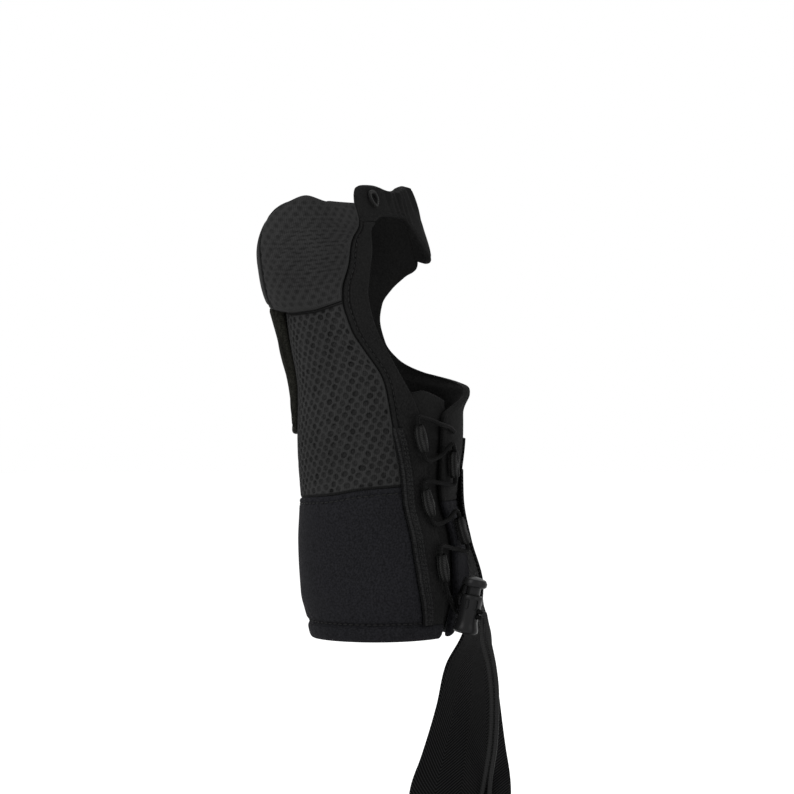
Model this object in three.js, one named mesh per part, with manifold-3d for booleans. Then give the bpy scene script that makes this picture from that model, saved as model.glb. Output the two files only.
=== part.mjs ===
// Wrist support for a right hand: a sewn cloth shell with a padded edge, a lacing and a pull strap.
// Millimetres. +X is the thumb side, +Y the back of the hand, +Z the fingers.
// The origin is the middle of the wrist.
import * as THREE from 'three';
import { mergeVertices } from 'three/addons/utils/BufferGeometryUtils.js';
import Module from 'manifold-3d';

const wasm = await Module();
wasm.setup();

// Driving dimensions
const CLOTH = 3.0;
const BAND_CLOTH = 2.6;
const SEAM_GAP = 0.4;
const SEAM_ANGLE_GAP = 0.95;
const LAYER_GAP = 0.45;
const CUFF_LOW = -100.5;
const CUFF_SEAM_BACK = -40;
const CUFF_SEAM_PALM = -32;
const HEM_LOW = -107.6;
const HEM_PROUD = 3.9;
const BACK_SEAM = 104;
const BAND_TOP = 96;
const HAND_TOP = 113;
const LITTLE_FINGER_DIP = 23;
const INDEX_SEAM = -10;
const THUMB_FLARE = 4.2;
const PAD_ANGLE_GAP = 2;
const PAD_SEAM_RISE = [60.2, 107];
const POCKET_LOW = -7;
const POCKET_THICK = [3.7, 7.6];
const POCKET_ANGLES = [97, 131.5];
const POCKET_CORNER = 8;
const POCKET_EDGE_DROP = 1.3;
const TAPE_THICK = 0.9;
const TAPE_LIFT = 0.65;
const TAPE_ANGLE = 9.5;
const TAPE_BACK = 0.2;
const TAPE_TOP = -3;
const TONGUE_SKIN = -3.1;
const TONGUE_FACE = -0.9;
const TONGUE_LOW = -104.5;
const TONGUE_LAP = 9;
const TONGUE_SIDE_TOPS = [12, 2];
const RIM_RADIUS = 1.2;
const RING_OUTER = [6, 9.5];
const RING_INNER = [3, 5.4];
const RING_THICK = 1.6;
const RING_SEAT = { angle: 262.6, z: 109.6, over: 0.95 };
const LACE_RADIUS = 1.1;
const LACE_SIDES = 8;
const LACE_LIFT = 0.6;
const LACE_BEYOND_LOOP = 3.5;
const CORDS_APART = 1.35;
const LOOP_LENGTH = 13.5;
const LOOP_WIDE = 5.8;
const LOOP_TALL = 4.8;
const LOOP_WALL = 0.65;
const LOOP_SIDES = 12;
const LOOP_LEAN = 14;
const LOOP_LIFT = 0.85;
const STRAP_WIDE = 50;
const STRAP_THICK = 1.6;
const ANCHOR_THICK = 1.4;
const ANCHOR_ANGLES = [302, 374];
const ANCHOR_HEIGHTS = [-25, -9];
const LOCK_FOOT = [3.1, -43.2, -104.5];
const LOCK_LEAN = [0.106, -0.169, 0.98];
const LOCK_TRAVEL = 3.5;
const LOCK_SIDES = 18;
const BARREL_TALL = 19;
const BARREL_RADIUS = 5.6;
const BARREL_FLOOR = 2;
const BORE_RADIUS = 3.9;
const STEM_RADIUS = 3.55;
const STEM_CLEAR = 0.4;
const HEAD_CLEAR = 0.6;
const CORD_HOLE_WIDE = 3.0;
const CORD_HOLE_TALL = 5.6;
const CORD_HOLE_UP = 10.5;

// Inner face of the shell: level sections from the hem to the knuckles, as rounded ovals
const FORM = [
  { z: -112, cx: -2.2, cy: 1.6, wide: 33.0, deep: 29.0, square: 2.1 },
  { z: -100, cx: -1.9, cy: 1.2, wide: 36.6, deep: 31.8, square: 2.1 },
  { z: -85, cx: -1.7, cy: 1.7, wide: 40.0, deep: 35.3, square: 2.1 },
  { z: -60, cx: -1.6, cy: 1.9, wide: 41.0, deep: 36.0, square: 2.1 },
  { z: -38, cx: -2.4, cy: 3.2, wide: 39.1, deep: 33.6, square: 2.1 },
  { z: -10, cx: -1.5, cy: 2.7, wide: 41.3, deep: 34.8, square: 2.15 },
  { z: 15, cx: -0.7, cy: 3.3, wide: 43.5, deep: 33.0, square: 2.2 },
  { z: 40, cx: -0.5, cy: 8.5, wide: 46.0, deep: 30.0, square: 2.3 },
  { z: 65, cx: -0.5, cy: 15.0, wide: 47.5, deep: 26.5, square: 2.4 },
  { z: 90, cx: 0.5, cy: 21.5, wide: 49.0, deep: 23.0, square: 2.5 },
  { z: 112, cx: 0.5, cy: 27.0, wide: 48.0, deep: 20.5, square: 2.5 },
  { z: 124, cx: 0.5, cy: 30.0, wide: 46.0, deep: 19.5, square: 2.5 },
];

// Seam between the mesh and the palm band, which runs on down under the tape
const MESH_SEAM = [
  { z: -101, angle: 250.5 },
  { z: -83, angle: 244 },
  { z: -60, angle: 238 },
  { z: -32, angle: 234 },
  { z: -4, angle: 226 },
  { z: 20, angle: 222.5 },
  { z: 34, angle: 214.7 },
  { z: 44, angle: 209.3 },
  { z: 54, angle: 208.4 },
  { z: 63, angle: 211.9 },
  { z: 76, angle: 224.6 },
  { z: 90, angle: 236 },
  { z: 96, angle: 246 },
  { z: 108, angle: 247 },
];

// Free edge of the palm band: round the palm opening, then down beside the lacing
const PALM_EDGE = [
  { z: -101, angle: 272 },
  { z: -79, angle: 267 },
  { z: -47, angle: 259 },
  { z: -15, angle: 252.5 },
  { z: 4, angle: 247.5 },
  { z: 13, angle: 243 },
  { z: 20, angle: 238.5 },
  { z: 30, angle: 234.3 },
  { z: 47, angle: 229.8 },
  { z: 59, angle: 232.1 },
  { z: 71, angle: 240.3 },
  { z: 84, angle: 250.6 },
  { z: 94, angle: 255.5 },
  { z: 97.5, angle: 260.5 },
];

// Thumb-side edge of the back panel and cuff: lacing margin, round the thumb, up to the index seam
const THUMB_EDGE = [
  { z: -101, angle: -73 },
  { z: -79, angle: -77.5 },
  { z: -47, angle: -85.5 },
  { z: -30, angle: -90 },
  { z: -12, angle: -91.5 },
  { z: 2, angle: -89 },
  { z: 7.5, angle: -78 },
  { z: 12, angle: -64 },
  { z: 16, angle: -50 },
  { z: 19, angle: -28 },
  { z: 24, angle: 2 },
  { z: 31, angle: 22 },
  { z: 40, angle: 32 },
  { z: 50, angle: 34.5 },
  { z: 60, angle: 30 },
  { z: 68, angle: 18 },
  { z: 74, angle: 4 },
  { z: 79, angle: -8 },
  { z: 82, angle: INDEX_SEAM },
  { z: HAND_TOP, angle: INDEX_SEAM },
];

// Seam between the cuff and the panels above it
const CUFF_SEAM = [
  { angle: -92, z: CUFF_SEAM_BACK },
  { angle: 104, z: CUFF_SEAM_BACK },
  { angle: 130, z: -38.4 },
  { angle: 174, z: -36.8 },
  { angle: 205, z: -33.6 },
  { angle: 236, z: CUFF_SEAM_PALM },
];

// Lower edge of the padded dome, where it is sewn to the mesh panel
const PAD_SEAM = [
  { angle: 97, z: 56 },
  { angle: 137, z: 54 },
  { angle: 163, z: 52.5 },
  { angle: 180, z: 53.2 },
  { angle: 209, z: 59.8 },
];

const PAD_TOP = [
  { angle: 104, z: 84 },
  { angle: 122, z: 89.5 },
  { angle: 150, z: 98.6 },
  { angle: 176, z: 106 },
  { angle: 200, z: 109.8 },
  { angle: 223, z: 106.9 },
  { angle: 246, z: 107 },
];

// How far the dome stands over the cloth: across from the back seam, at its foot and at its crown
const PAD_HEIGHT = [
  { across: 0, foot: 8, crown: 8.4 },
  { across: 0.12, foot: 8, crown: 9.6 },
  { across: 0.28, foot: 6, crown: 10.6 },
  { across: 0.5, foot: 2.8, crown: 9.2 },
  { across: 0.75, foot: 1.4, crown: 5.8 },
  { across: 1, foot: 0.8, crown: 0.8 },
];

// Strap across the top of the palm: lower and upper edge, how far gathers and folds lift it at the
// top, and how far it bows out between its edges
const WEB_STRAP = [
  { angle: 248, low: 97.5, high: 107, lift: 0.2, bow: 0 },
  { angle: 253.5, low: 97.8, high: 113.4, lift: 0.3, bow: 0 },
  { angle: 260, low: 98.4, high: 116.7, lift: 0.4, bow: 0 },
  { angle: 268, low: 101.5, high: 117.4, lift: 0.4, bow: 0 },
  { angle: 275, low: 102, high: 115.8, lift: 1.3, bow: 0 },
  { angle: 280, low: 101.9, high: 115.6, lift: 0.3, bow: 0 },
  { angle: 285, low: 101, high: 116.2, lift: 1.5, bow: 0.2 },
  { angle: 291, low: 96.4, high: 117.8, lift: 0.8, bow: 0.4 },
  { angle: 300, low: 88.2, high: 119.2, lift: 1.5, bow: 1.2 },
  { angle: 310, low: 84.4, high: 120, lift: 1.5, bow: 1.8 },
  { angle: 320, low: 81, high: 119.6, lift: 1.3, bow: 2 },
  { angle: 328, low: 80.2, high: 117, lift: 1, bow: 1.5 },
  { angle: 338, low: 80.8, high: 114, lift: 0.3, bow: 0.5 },
  { angle: 349.3, low: 82, high: 113, lift: 0, bow: 0 },
];

const TONGUE_TOP = [
  { angle: 239, z: 12.6 },
  { angle: 246, z: 13.4 },
  { angle: 258, z: 14.6 },
  { angle: 272, z: 12 },
  { angle: 282, z: 9.5 },
  { angle: 292, z: 8 },
];

const LACE_LOOPS = [
  { name: 'lace_loop_1', angle: 244.6, z: -8.7, cloth: BAND_CLOTH },
  { name: 'lace_loop_2', angle: 252.3, z: -40, cloth: BAND_CLOTH },
  { name: 'lace_loop_3', angle: 259.6, z: -71.7, cloth: BAND_CLOTH },
  { name: 'lace_loop_4', angle: 274.2, z: -21.5, cloth: CLOTH },
  { name: 'lace_loop_5', angle: 281, z: -54.5, cloth: CLOTH },
];

// Run of the lace over the tongue: points on the shell and the loops it is threaded through
const LACE_PATH = [
  { angle: 275.6, z: -5.6 },
  { angle: 271, z: -3.6 },
  { angle: 262, z: -1.6 },
  { angle: 252, z: 0.6 },
  { loop: 'lace_loop_1' },
  { angle: 262, z: -17.5 },
  { loop: 'lace_loop_4' },
  { angle: 264.5, z: -30.5 },
  { loop: 'lace_loop_2' },
  { angle: 269, z: -49 },
  { loop: 'lace_loop_5' },
  { angle: 272, z: -63 },
  { loop: 'lace_loop_3' },
  { angle: 268.5, z: -86.5 },
];
const LACE_END_PATH = [
  { angle: 291, z: -82 },
  { angle: 285, z: -86 },
  { angle: 278, z: -88.5 },
];

// Side of the cord lock's barrel from its foot to its rim, and of the button's head
const BARREL_SIDE = [
  { out: -0.6, up: 0 },
  { out: 0.5, up: 0.9 },
  { out: 0.6, up: 2.2 },
  { out: 0.1, up: 3.6 },
  { out: -0.5, up: 6 },
  { out: -0.4, up: 12 },
  { out: -0.1, up: 16.5 },
  { out: 0, up: 18.2 },
  { out: -0.4, up: BARREL_TALL },
];
const HEAD_SIDE = [
  { out: -0.4, up: 0 },
  { out: 0.5, up: 0.8 },
  { out: 0.6, up: 2.4 },
  { out: -0.3, up: 3.9 },
  { out: -2.6, up: 4.7 },
];
const HEAD_TALL = 5;

// Pull strap: middle of each section, the way its width points seen from above, and its bow
const PULL_STRAP = [
  { z: -26, x: 31.7, y: -8.0, turn: 245.6, bow: 8.8 },
  { z: -42, x: 34.5, y: -10.4, turn: 238, bow: 6.4 },
  { z: -60, x: 39.6, y: -15.3, turn: 229, bow: 4 },
  { z: -85, x: 46.4, y: -24.8, turn: 215.4, bow: 2.2 },
  { z: -108, x: 37.0, y: -28.6, turn: 194.3, bow: 1.2 },
  { z: -120, x: 27.2, y: -30.8, turn: 184, bow: 0.8 },
  { z: -140, x: 15.9, y: -37.8, turn: 172.4, bow: 0.6 },
  { z: -163, x: 1.0, y: -44.0, turn: 154.5, bow: 0.6 },
  { z: -182, x: -14.5, y: -50.9, turn: 128, bow: 0.6 },
  { z: -192, x: -20.3, y: -53.8, turn: 122, bow: 0.6 },
];

// Free loop of cord below the cord lock: hand-set points of its route
const TAIL_ROUTE = [
  [4.0, -54.0, -97.4],
  [3.0, -54.3, -102],
  [2.7, -55.3, -107.5],
  [3.2, -58.0, -119],
  [4.0, -59.2, -131],
  [3.8, -58.9, -146],
  [1.5, -58.1, -160],
  [-4.5, -58.9, -174],
  [-11.6, -60.8, -182],
  [-16.6, -61.2, -188],
  [-18.8, -63.3, -193],
  [-17.5, -67.2, -195.6],
  [-14.6, -70.1, -193],
  [-11.7, -69.0, -188],
  [-9.2, -64.5, -182],
  [-3.0, -61.3, -174],
  [3.0, -60.4, -160],
  [5.2, -61.1, -146],
  [5.4, -61.5, -131],
  [4.7, -60.3, -119],
  [3.9, -58.0, -107],
  [3.9, -57.6, -100.5],
  [3.7, -56.2, -94.6],
];

// Value of one column at a place along a short table, with no overshoot between its rows
function smooth(rows, key, at, column) {
  const last = rows.length - 1;
  let k = 0;
  while (k < last - 1 && at > rows[k + 1][key]) k += 1;
  const step = (i) => rows[i + 1][key] - rows[i][key];
  const rise = (i) => (rows[i + 1][column] - rows[i][column]) / step(i);
  const slope = (i) => {
    if (i === 0) return rise(0);
    if (i === last) return rise(last - 1);
    const before = rise(i - 1);
    const after = rise(i);
    return before * after <= 0 ? 0 : (2 * before * after) / (before + after);
  };
  const span = step(k);
  const t = THREE.MathUtils.clamp((at - rows[k][key]) / span, 0, 1);
  const h = 1 - t;
  return h * h * (1 + 2 * t) * rows[k][column] + t * t * (1 + 2 * h) * rows[k + 1][column]
    + span * t * h * (h * slope(k) - t * slope(k + 1));
}

// Point of the shell at an angle round it (0 at the thumb side, 90 at the back) and a height,
// a distance out from its inner face
function onForm(angle, z, out) {
  const [cx, cy, wide, deep, square] = ['cx', 'cy', 'wide', 'deep', 'square']
    .map((column) => smooth(FORM, 'z', z, column));
  const turn = THREE.MathUtils.degToRad(angle);
  const round = (value) => Math.sign(value) * Math.abs(value) ** (2 / square);
  return new THREE.Vector3(
    cx + (wide + out) * round(Math.cos(turn)),
    cy + (deep + out) * round(Math.sin(turn)),
    z,
  );
}

const spread = (count) => Array.from({ length: count + 1 }, (_, i) => i / count);
const mix = THREE.MathUtils.lerp;

// Closed sheet over a grid of columns and rows: point(face, i, j) places face 1, on the side that
// columns cross rows points to, and face 0 behind it
function closedSheet(columns, rows, point) {
  const positions = [];
  for (const face of [1, 0]) {
    for (let j = 0; j < rows; j += 1) {
      for (let i = 0; i < columns; i += 1) positions.push(...point(face, i, j).toArray());
    }
  }
  const back = columns * rows;
  const index = [];
  const quad = (a, b, c, d) => index.push(a, b, c, a, c, d);
  for (let j = 0; j + 1 < rows; j += 1) {
    for (let i = 0; i + 1 < columns; i += 1) {
      const a = j * columns + i;
      const d = a + columns;
      quad(a, a + 1, d + 1, d);
      quad(back + a, back + d, back + d + 1, back + a + 1);
    }
    const near = j * columns;
    const far = near + columns - 1;
    quad(near, near + columns, back + near + columns, back + near);
    quad(far, back + far, back + far + columns, far + columns);
  }
  const top = (rows - 1) * columns;
  for (let i = 0; i + 1 < columns; i += 1) {
    quad(i, back + i, back + i + 1, i + 1);
    quad(top + i, top + i + 1, back + top + i + 1, back + top + i);
  }
  return indexed(positions, index);
}

function indexed(positions, index) {
  const geometry = new THREE.BufferGeometry();
  geometry.setAttribute('position', new THREE.Float32BufferAttribute(positions, 3));
  geometry.setIndex(index);
  return geometry;
}

// Cloth wall on the form: place(s, t) gives angle and height, inner and outer its two faces
function wall(across, up, place, inner, outer) {
  return closedSheet(across.length, up.length, (face, i, j) => {
    const at = place(across[i], up[j]);
    const out = face ? outer(across[i], up[j]) : inner(across[i], up[j]);
    return onForm(at.angle, at.z, out);
  });
}

// Patch between four edges: each is a function that gives angle and height along it
function patch(bottom, top, left, right) {
  const corner = { bl: bottom(0), br: bottom(1), tl: top(0), tr: top(1) };
  const blend = (key, s, t) => {
    const ruled = mix(bottom(s)[key], top(s)[key], t) + mix(left(t)[key], right(t)[key], s);
    const flat = mix(
      mix(corner.bl[key], corner.br[key], s),
      mix(corner.tl[key], corner.tr[key], s),
      t,
    );
    return ruled - flat;
  };
  return (s, t) => ({ angle: blend('angle', s, t), z: blend('z', s, t) });
}

// Edge that follows a table of angles by height, and one that follows heights by angle
const upSeam = (rows, low, high, shift = 0) => (t) => {
  const z = mix(low, high, t);
  return { angle: smooth(rows, 'z', z, 'angle') + shift, z };
};
const roundSeam = (rows, from, to, shift = 0) => (s) => {
  const angle = mix(from, to, s);
  return { angle, z: smooth(rows, 'angle', angle, 'z') + shift };
};

// Closed band: a convex section of outward distance and height, swept round the form
function hoop(angles, section) {
  const count = section.length;
  const positions = [];
  for (const angle of angles) {
    for (const { out, z } of section) positions.push(...onForm(angle, z, out).toArray());
  }
  const index = [];
  for (let k = 0; k + 1 < angles.length; k += 1) {
    for (let j = 0; j < count; j += 1) {
      const next = (j + 1) % count;
      const a = k * count;
      const b = a + count;
      index.push(a + j, b + j, b + next, a + j, b + next, a + next);
    }
  }
  const end = (angles.length - 1) * count;
  for (let j = 1; j + 1 < count; j += 1) {
    index.push(0, j, j + 1);
    index.push(end, end + j + 1, end + j);
  }
  return indexed(positions, index);
}

// Cord along hand-set points
function cord(points, radius, steps) {
  const outline = new THREE.Shape(
    spread(LACE_SIDES).slice(0, LACE_SIDES).map((part) => {
      const turn = 2 * Math.PI * part;
      return new THREE.Vector2(radius * Math.cos(turn), radius * Math.sin(turn));
    }),
  );
  const extrudePath = new THREE.CatmullRomCurve3(points, false, 'centripetal');
  return new THREE.ExtrudeGeometry(outline, { steps, extrudePath });
}

const cloths = {
  mesh: { color: 0x202020, roughness: 0.85, metalness: 0 },
  knit: { color: 0x141416, roughness: 0.9, metalness: 0 },
  tape: { color: 0x17170f, roughness: 0.8, metalness: 0 },
  webbing: { color: 0x1c1c1c, roughness: 0.6, metalness: 0 },
  plastic: { color: 0x161616, roughness: 0.3, metalness: 0 },
};

const brace = new THREE.Group();

function add(name, geometry, cloth) {
  const mesh = new THREE.Mesh(geometry, new THREE.MeshStandardMaterial(cloths[cloth]));
  mesh.name = name;
  brace.add(mesh);
  return mesh;
}

const flat = (out) => () => out;
const { smoothstep } = THREE.MathUtils;

function shellPanels() {
  const meshLow = CUFF_SEAM_PALM + SEAM_GAP;
  const meshHigh = PAD_SEAM.at(-1).z - SEAM_GAP;
  const backEdge = BACK_SEAM + SEAM_ANGLE_GAP;
  const meshPlace = patch(
    roundSeam(CUFF_SEAM, backEdge, smooth(MESH_SEAM, 'z', meshLow, 'angle') - SEAM_ANGLE_GAP, SEAM_GAP),
    roundSeam(PAD_SEAM, backEdge, smooth(MESH_SEAM, 'z', meshHigh, 'angle') - SEAM_ANGLE_GAP, -SEAM_GAP),
    (t) => ({
      angle: backEdge,
      z: mix(
        smooth(CUFF_SEAM, 'angle', backEdge, 'z') + SEAM_GAP,
        smooth(PAD_SEAM, 'angle', backEdge, 'z') - SEAM_GAP,
        t,
      ),
    }),
    upSeam(MESH_SEAM, meshLow, meshHigh, -SEAM_ANGLE_GAP),
  );
  add('mesh_panel', wall(spread(13), spread(13), meshPlace, flat(0), flat(CLOTH)), 'mesh');

  const bandPlace = (s, t) => {
    const z = mix(CUFF_LOW, BAND_TOP, t);
    const from = smooth(MESH_SEAM, 'z', z, 'angle');
    const to = smooth(PALM_EDGE, 'z', z, 'angle');
    return { angle: mix(from, to, s), z };
  };
  add('palm_band', wall(spread(3), spread(38), bandPlace, flat(0), flat(BAND_CLOTH)), 'knit');

  const cuffPlace = (s, t) => {
    const from = (z) => smooth(THUMB_EDGE, 'z', z, 'angle');
    const to = (z) => smooth(MESH_SEAM, 'z', z, 'angle') - SEAM_ANGLE_GAP;
    const high = smooth(CUFF_SEAM, 'angle', mix(from(CUFF_SEAM_BACK), to(CUFF_SEAM_PALM), s), 'z');
    const z = mix(CUFF_LOW, high, t);
    return { angle: mix(from(z), to(z), s), z };
  };
  add('forearm_cuff', wall(spread(31), spread(6), cuffPlace, flat(0), flat(CLOTH)), 'knit');

  const thumbRows = THUMB_EDGE.map((row) => row.z).filter((z) => z > CUFF_SEAM_BACK);
  const halfways = thumbRows.slice(1).map((z, k) => (z + thumbRows[k]) / 2);
  const backRows = [CUFF_SEAM_BACK + SEAM_GAP, ...thumbRows, ...halfways.filter((z) => z > 12)];
  backRows.sort((low, high) => low - high);
  const backPlace = (s, z) => {
    const dip = LITTLE_FINGER_DIP * smoothstep(s, 0.72, 1) * smoothstep(z, 60, HAND_TOP);
    const from = smooth(THUMB_EDGE, 'z', z, 'angle');
    return { angle: mix(from, BACK_SEAM, s), z: z - dip };
  };
  const flare = (s, z) => {
    const nearThumb = smoothstep(z, 3, 13) * (1 - smoothstep(z, 17, 30));
    return THUMB_FLARE * nearThumb * (1 - smoothstep(s, 0, 0.3));
  };
  const backFace = (s, z) => CLOTH + flare(s, z);
  add('back_panel', wall(spread(15), backRows, backPlace, flare, backFace), 'knit');
}

function paddedEdge() {
  const [low, high] = PAD_SEAM_RISE;
  const left = BACK_SEAM + SEAM_ANGLE_GAP;
  const place = patch(
    roundSeam(PAD_SEAM, left, smooth(MESH_SEAM, 'z', low, 'angle') - PAD_ANGLE_GAP, SEAM_GAP),
    roundSeam(PAD_TOP, left, smooth(MESH_SEAM, 'z', high, 'angle') - PAD_ANGLE_GAP),
    (t) => ({
      angle: left,
      z: mix(smooth(PAD_SEAM, 'angle', left, 'z') + SEAM_GAP, smooth(PAD_TOP, 'angle', left, 'z'), t),
    }),
    upSeam(MESH_SEAM, low, high, -PAD_ANGLE_GAP),
  );
  const lift = (s, t) => {
    const off = Math.abs(2 * t - 1);
    const arch = t < 0.5 ? Math.sqrt(1 - off ** 3) : (1 - off ** 2.2) ** 0.75;
    const foot = smooth(PAD_HEIGHT, 'across', s, 'foot') * (1 - 0.75 * t);
    const crown = smooth(PAD_HEIGHT, 'across', s, 'crown');
    return CLOTH + mix(foot, Math.max(foot, crown), arch);
  };
  const steps = [0, 0.03, 0.09, 0.18, 0.28, 0.4, 0.52, 0.64, 0.76, 0.88, 1];
  const rises = [0, 0.015, 0.06, 0.14, 0.26, 0.4, 0.55, 0.7, 0.82, 0.92, 0.98, 1];
  add('ulnar_pad', wall(steps, rises, place, flat(0), lift), 'mesh');

  const rimPoints = spread(12).map((part) => {
    const t = mix(0.04, 0.98, part);
    const at = place(0, t);
    return onForm(at.angle - 2 * RIM_RADIUS, at.z, lift(0, t) - 1.6);
  });
  add('pad_rim', cord(rimPoints, RIM_RADIUS, 16), 'tape');
}

function stayPocket() {
  const [from, to] = POCKET_ANGLES;
  const bottom = (s) => {
    const drop = Math.sqrt(1 - Math.abs(2 * s - 1) ** 4);
    return { angle: mix(from, to, s), z: POCKET_LOW + POCKET_CORNER * (1 - drop) };
  };
  const top = roundSeam(PAD_SEAM, from, to, -SEAM_GAP);
  const side = (s) => (t) => ({ angle: mix(from, to, s), z: mix(bottom(s).z, top(s).z, t) });
  const place = patch(bottom, top, side(0), side(1));
  const under = CLOTH + LAYER_GAP;
  const crown = (s, t) => {
    const edge = POCKET_EDGE_DROP * Math.abs(2 * s - 1) ** 4;
    return under + mix(...POCKET_THICK, t) - edge;
  };
  const across = [0, 0.03, 0.1, 0.22, 0.36, 0.5, 0.64, 0.78, 0.9, 0.97, 1];
  add('stay_pocket', wall(across, spread(9), place, flat(under), crown), 'tape');
}

function hemAndTape() {
  const middle = (HEM_LOW + CUFF_LOW) / 2;
  const tall = (CUFF_LOW - SEAM_GAP - HEM_LOW) / 2;
  const deep = HEM_PROUD / 2;
  const section = spread(8).slice(0, 8).map((part) => {
    const turn = 2 * Math.PI * part + Math.PI / 8;
    const soft = (value) => Math.sign(value) * Math.abs(value) ** 0.7;
    return {
      out: deep + deep * soft(Math.cos(turn)),
      z: middle - SEAM_GAP / 2 + tall * soft(Math.sin(turn)),
    };
  });
  const from = THUMB_EDGE[0].angle;
  const to = PALM_EDGE[0].angle;
  add('cuff_hem', hoop(spread(40).map((part) => mix(from, to, part)), section), 'knit');

  const under = CLOTH + TAPE_LIFT;
  const tapePlace = (s, t) => {
    const z = mix(CUFF_LOW + SEAM_GAP, TAPE_TOP, t);
    const seamAngle = smooth(MESH_SEAM, 'z', z, 'angle');
    return { angle: seamAngle + TAPE_ANGLE * (s - TAPE_BACK), z };
  };
  const tape = wall(spread(2), spread(16), tapePlace, flat(under), flat(under + TAPE_THICK));
  add('seam_tape', tape, 'tape');
}

function lacingTongue() {
  const from = (z) => smooth(PALM_EDGE, 'z', z, 'angle') - TONGUE_LAP;
  const to = (z) => smooth(THUMB_EDGE, 'z', z, 'angle') + 360 + TONGUE_LAP;
  const [fromTop, toTop] = TONGUE_SIDE_TOPS;
  const place = (s, t) => {
    const rough = mix(TONGUE_LOW, fromTop, t);
    const high = smooth(TONGUE_TOP, 'angle', mix(from(fromTop), to(toTop), s), 'z');
    const angle = mix(from(rough), to(Math.min(rough, toTop)), s);
    return { angle, z: mix(TONGUE_LOW, high, t) };
  };
  const tongue = wall(spread(7), spread(16), place, flat(TONGUE_SKIN), flat(TONGUE_FACE));
  add('lacing_tongue', tongue, 'knit');
}

function webStrap() {
  const first = WEB_STRAP[0].angle;
  const last = WEB_STRAP.at(-1).angle;
  const place = (s, t) => {
    const angle = mix(first, last, s);
    const low = smooth(WEB_STRAP, 'angle', angle, 'low');
    const high = smooth(WEB_STRAP, 'angle', angle, 'high');
    return { angle, z: mix(low, high, t) };
  };
  const bowed = (s, t) => {
    const bow = smooth(WEB_STRAP, 'angle', mix(first, last, s), 'bow');
    return bow * Math.sin(Math.PI * Math.sqrt(t)) ** 0.8;
  };
  const face = (s, t) => {
    const lift = smooth(WEB_STRAP, 'angle', mix(first, last, s), 'lift');
    return BAND_CLOTH + bowed(s, t) + lift * smoothstep(t, 0.35, 0.9);
  };
  add('web_strap', wall(spread(26), spread(6), place, bowed, face), 'knit');

  const drop = ([wide, tall]) => {
    const shape = new THREE.Shape();
    shape.moveTo(0, -tall / 2);
    shape.bezierCurveTo(wide * 0.75, -tall * 0.1, wide * 0.6, tall / 2, 0, tall / 2);
    shape.bezierCurveTo(-wide * 0.6, tall / 2, -wide * 0.75, -tall * 0.1, 0, -tall / 2);
    return shape;
  };
  const ring = drop(RING_OUTER);
  ring.holes.push(drop(RING_INNER));
  const flatRing = { depth: RING_THICK, bevelEnabled: false, curveSegments: 7 };
  const loop = new THREE.ExtrudeGeometry(ring, flatRing);
  const mesh = add('web_loop', loop, 'webbing');
  seat(mesh, RING_SEAT.angle, RING_SEAT.z, BAND_CLOTH + RING_SEAT.over, 0);
}

// Stands a piece on the shell: its own +Z points out and its own +Y up, leaned by a few degrees
function seat(mesh, angle, z, out, lean) {
  const here = onForm(angle, z, out);
  const along = onForm(angle + 1, z, out).sub(onForm(angle - 1, z, out)).normalize();
  const rise = onForm(angle, z + 2, out).sub(onForm(angle, z - 2, out)).normalize();
  const outward = new THREE.Vector3().crossVectors(along, rise).normalize();
  const up = new THREE.Vector3().crossVectors(outward, along);
  mesh.quaternion.setFromRotationMatrix(new THREE.Matrix4().makeBasis(along, up, outward));
  mesh.rotateZ(THREE.MathUtils.degToRad(lean));
  mesh.position.copy(here);
}

function ovalOutline(wide, tall) {
  return spread(LOOP_SIDES).slice(1).map((part) => {
    const turn = 2 * Math.PI * part;
    return new THREE.Vector2((wide / 2) * Math.cos(turn), (tall / 2) * Math.sin(turn));
  });
}

function laceLoops() {
  const middle = LOOP_TALL / 2 + LOOP_LIFT;
  for (const { name, angle, z, cloth } of LACE_LOOPS) {
    const shape = new THREE.Shape(ovalOutline(LOOP_WIDE, LOOP_TALL));
    shape.holes.push(new THREE.Path(ovalOutline(LOOP_WIDE - 2 * LOOP_WALL, LOOP_TALL - 2 * LOOP_WALL)));
    const tunnel = new THREE.ExtrudeGeometry(shape, { depth: LOOP_LENGTH, bevelEnabled: false });
    tunnel.translate(0, 0, -LOOP_LENGTH / 2);
    tunnel.rotateX(Math.PI / 2);
    const mesh = add(name, tunnel, 'webbing');
    seat(mesh, angle, z, cloth + middle, LOOP_LEAN);
  }
}

// Barrel frame: its own +Z runs up the barrel to the button
const lockFoot = new THREE.Vector3(...LOCK_FOOT);
const lockUp = new THREE.Vector3(...LOCK_LEAN).normalize();
const lockTurn = new THREE.Quaternion().setFromUnitVectors(new THREE.Vector3(0, 0, 1), lockUp);
const inLock = (x, y, z) => new THREE.Vector3(x, y, z).applyQuaternion(lockTurn).add(lockFoot);

function asSolid(geometry) {
  const bare = geometry.clone();
  bare.deleteAttribute('normal');
  bare.deleteAttribute('uv');
  const merged = mergeVertices(bare, 1e-4);
  return new wasm.Manifold(new wasm.Mesh({
    numProp: 3,
    vertProperties: new Float32Array(merged.attributes.position.array),
    triVerts: new Uint32Array(merged.index.array),
  }));
}

function asGeometry(solid) {
  const { vertProperties, triVerts } = solid.getMesh();
  return indexed(vertProperties, Array.from(triVerts));
}

function turned(profile, sides) {
  const lathe = new THREE.LatheGeometry(profile.map(([r, z]) => new THREE.Vector2(r, z)), sides);
  return lathe.rotateX(Math.PI / 2);
}

function cordHole(wide, low, high, long) {
  const half = wide / 2;
  const slot = new THREE.Shape();
  slot.moveTo(-half, low + half);
  slot.absarc(0, low + half, half, Math.PI, 2 * Math.PI, false);
  slot.absarc(0, high - half, half, 0, Math.PI, false);
  const bar = new THREE.ExtrudeGeometry(slot, { depth: long, bevelEnabled: false, curveSegments: 6 });
  return bar.translate(0, 0, -long / 2).rotateX(Math.PI / 2);
}

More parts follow.
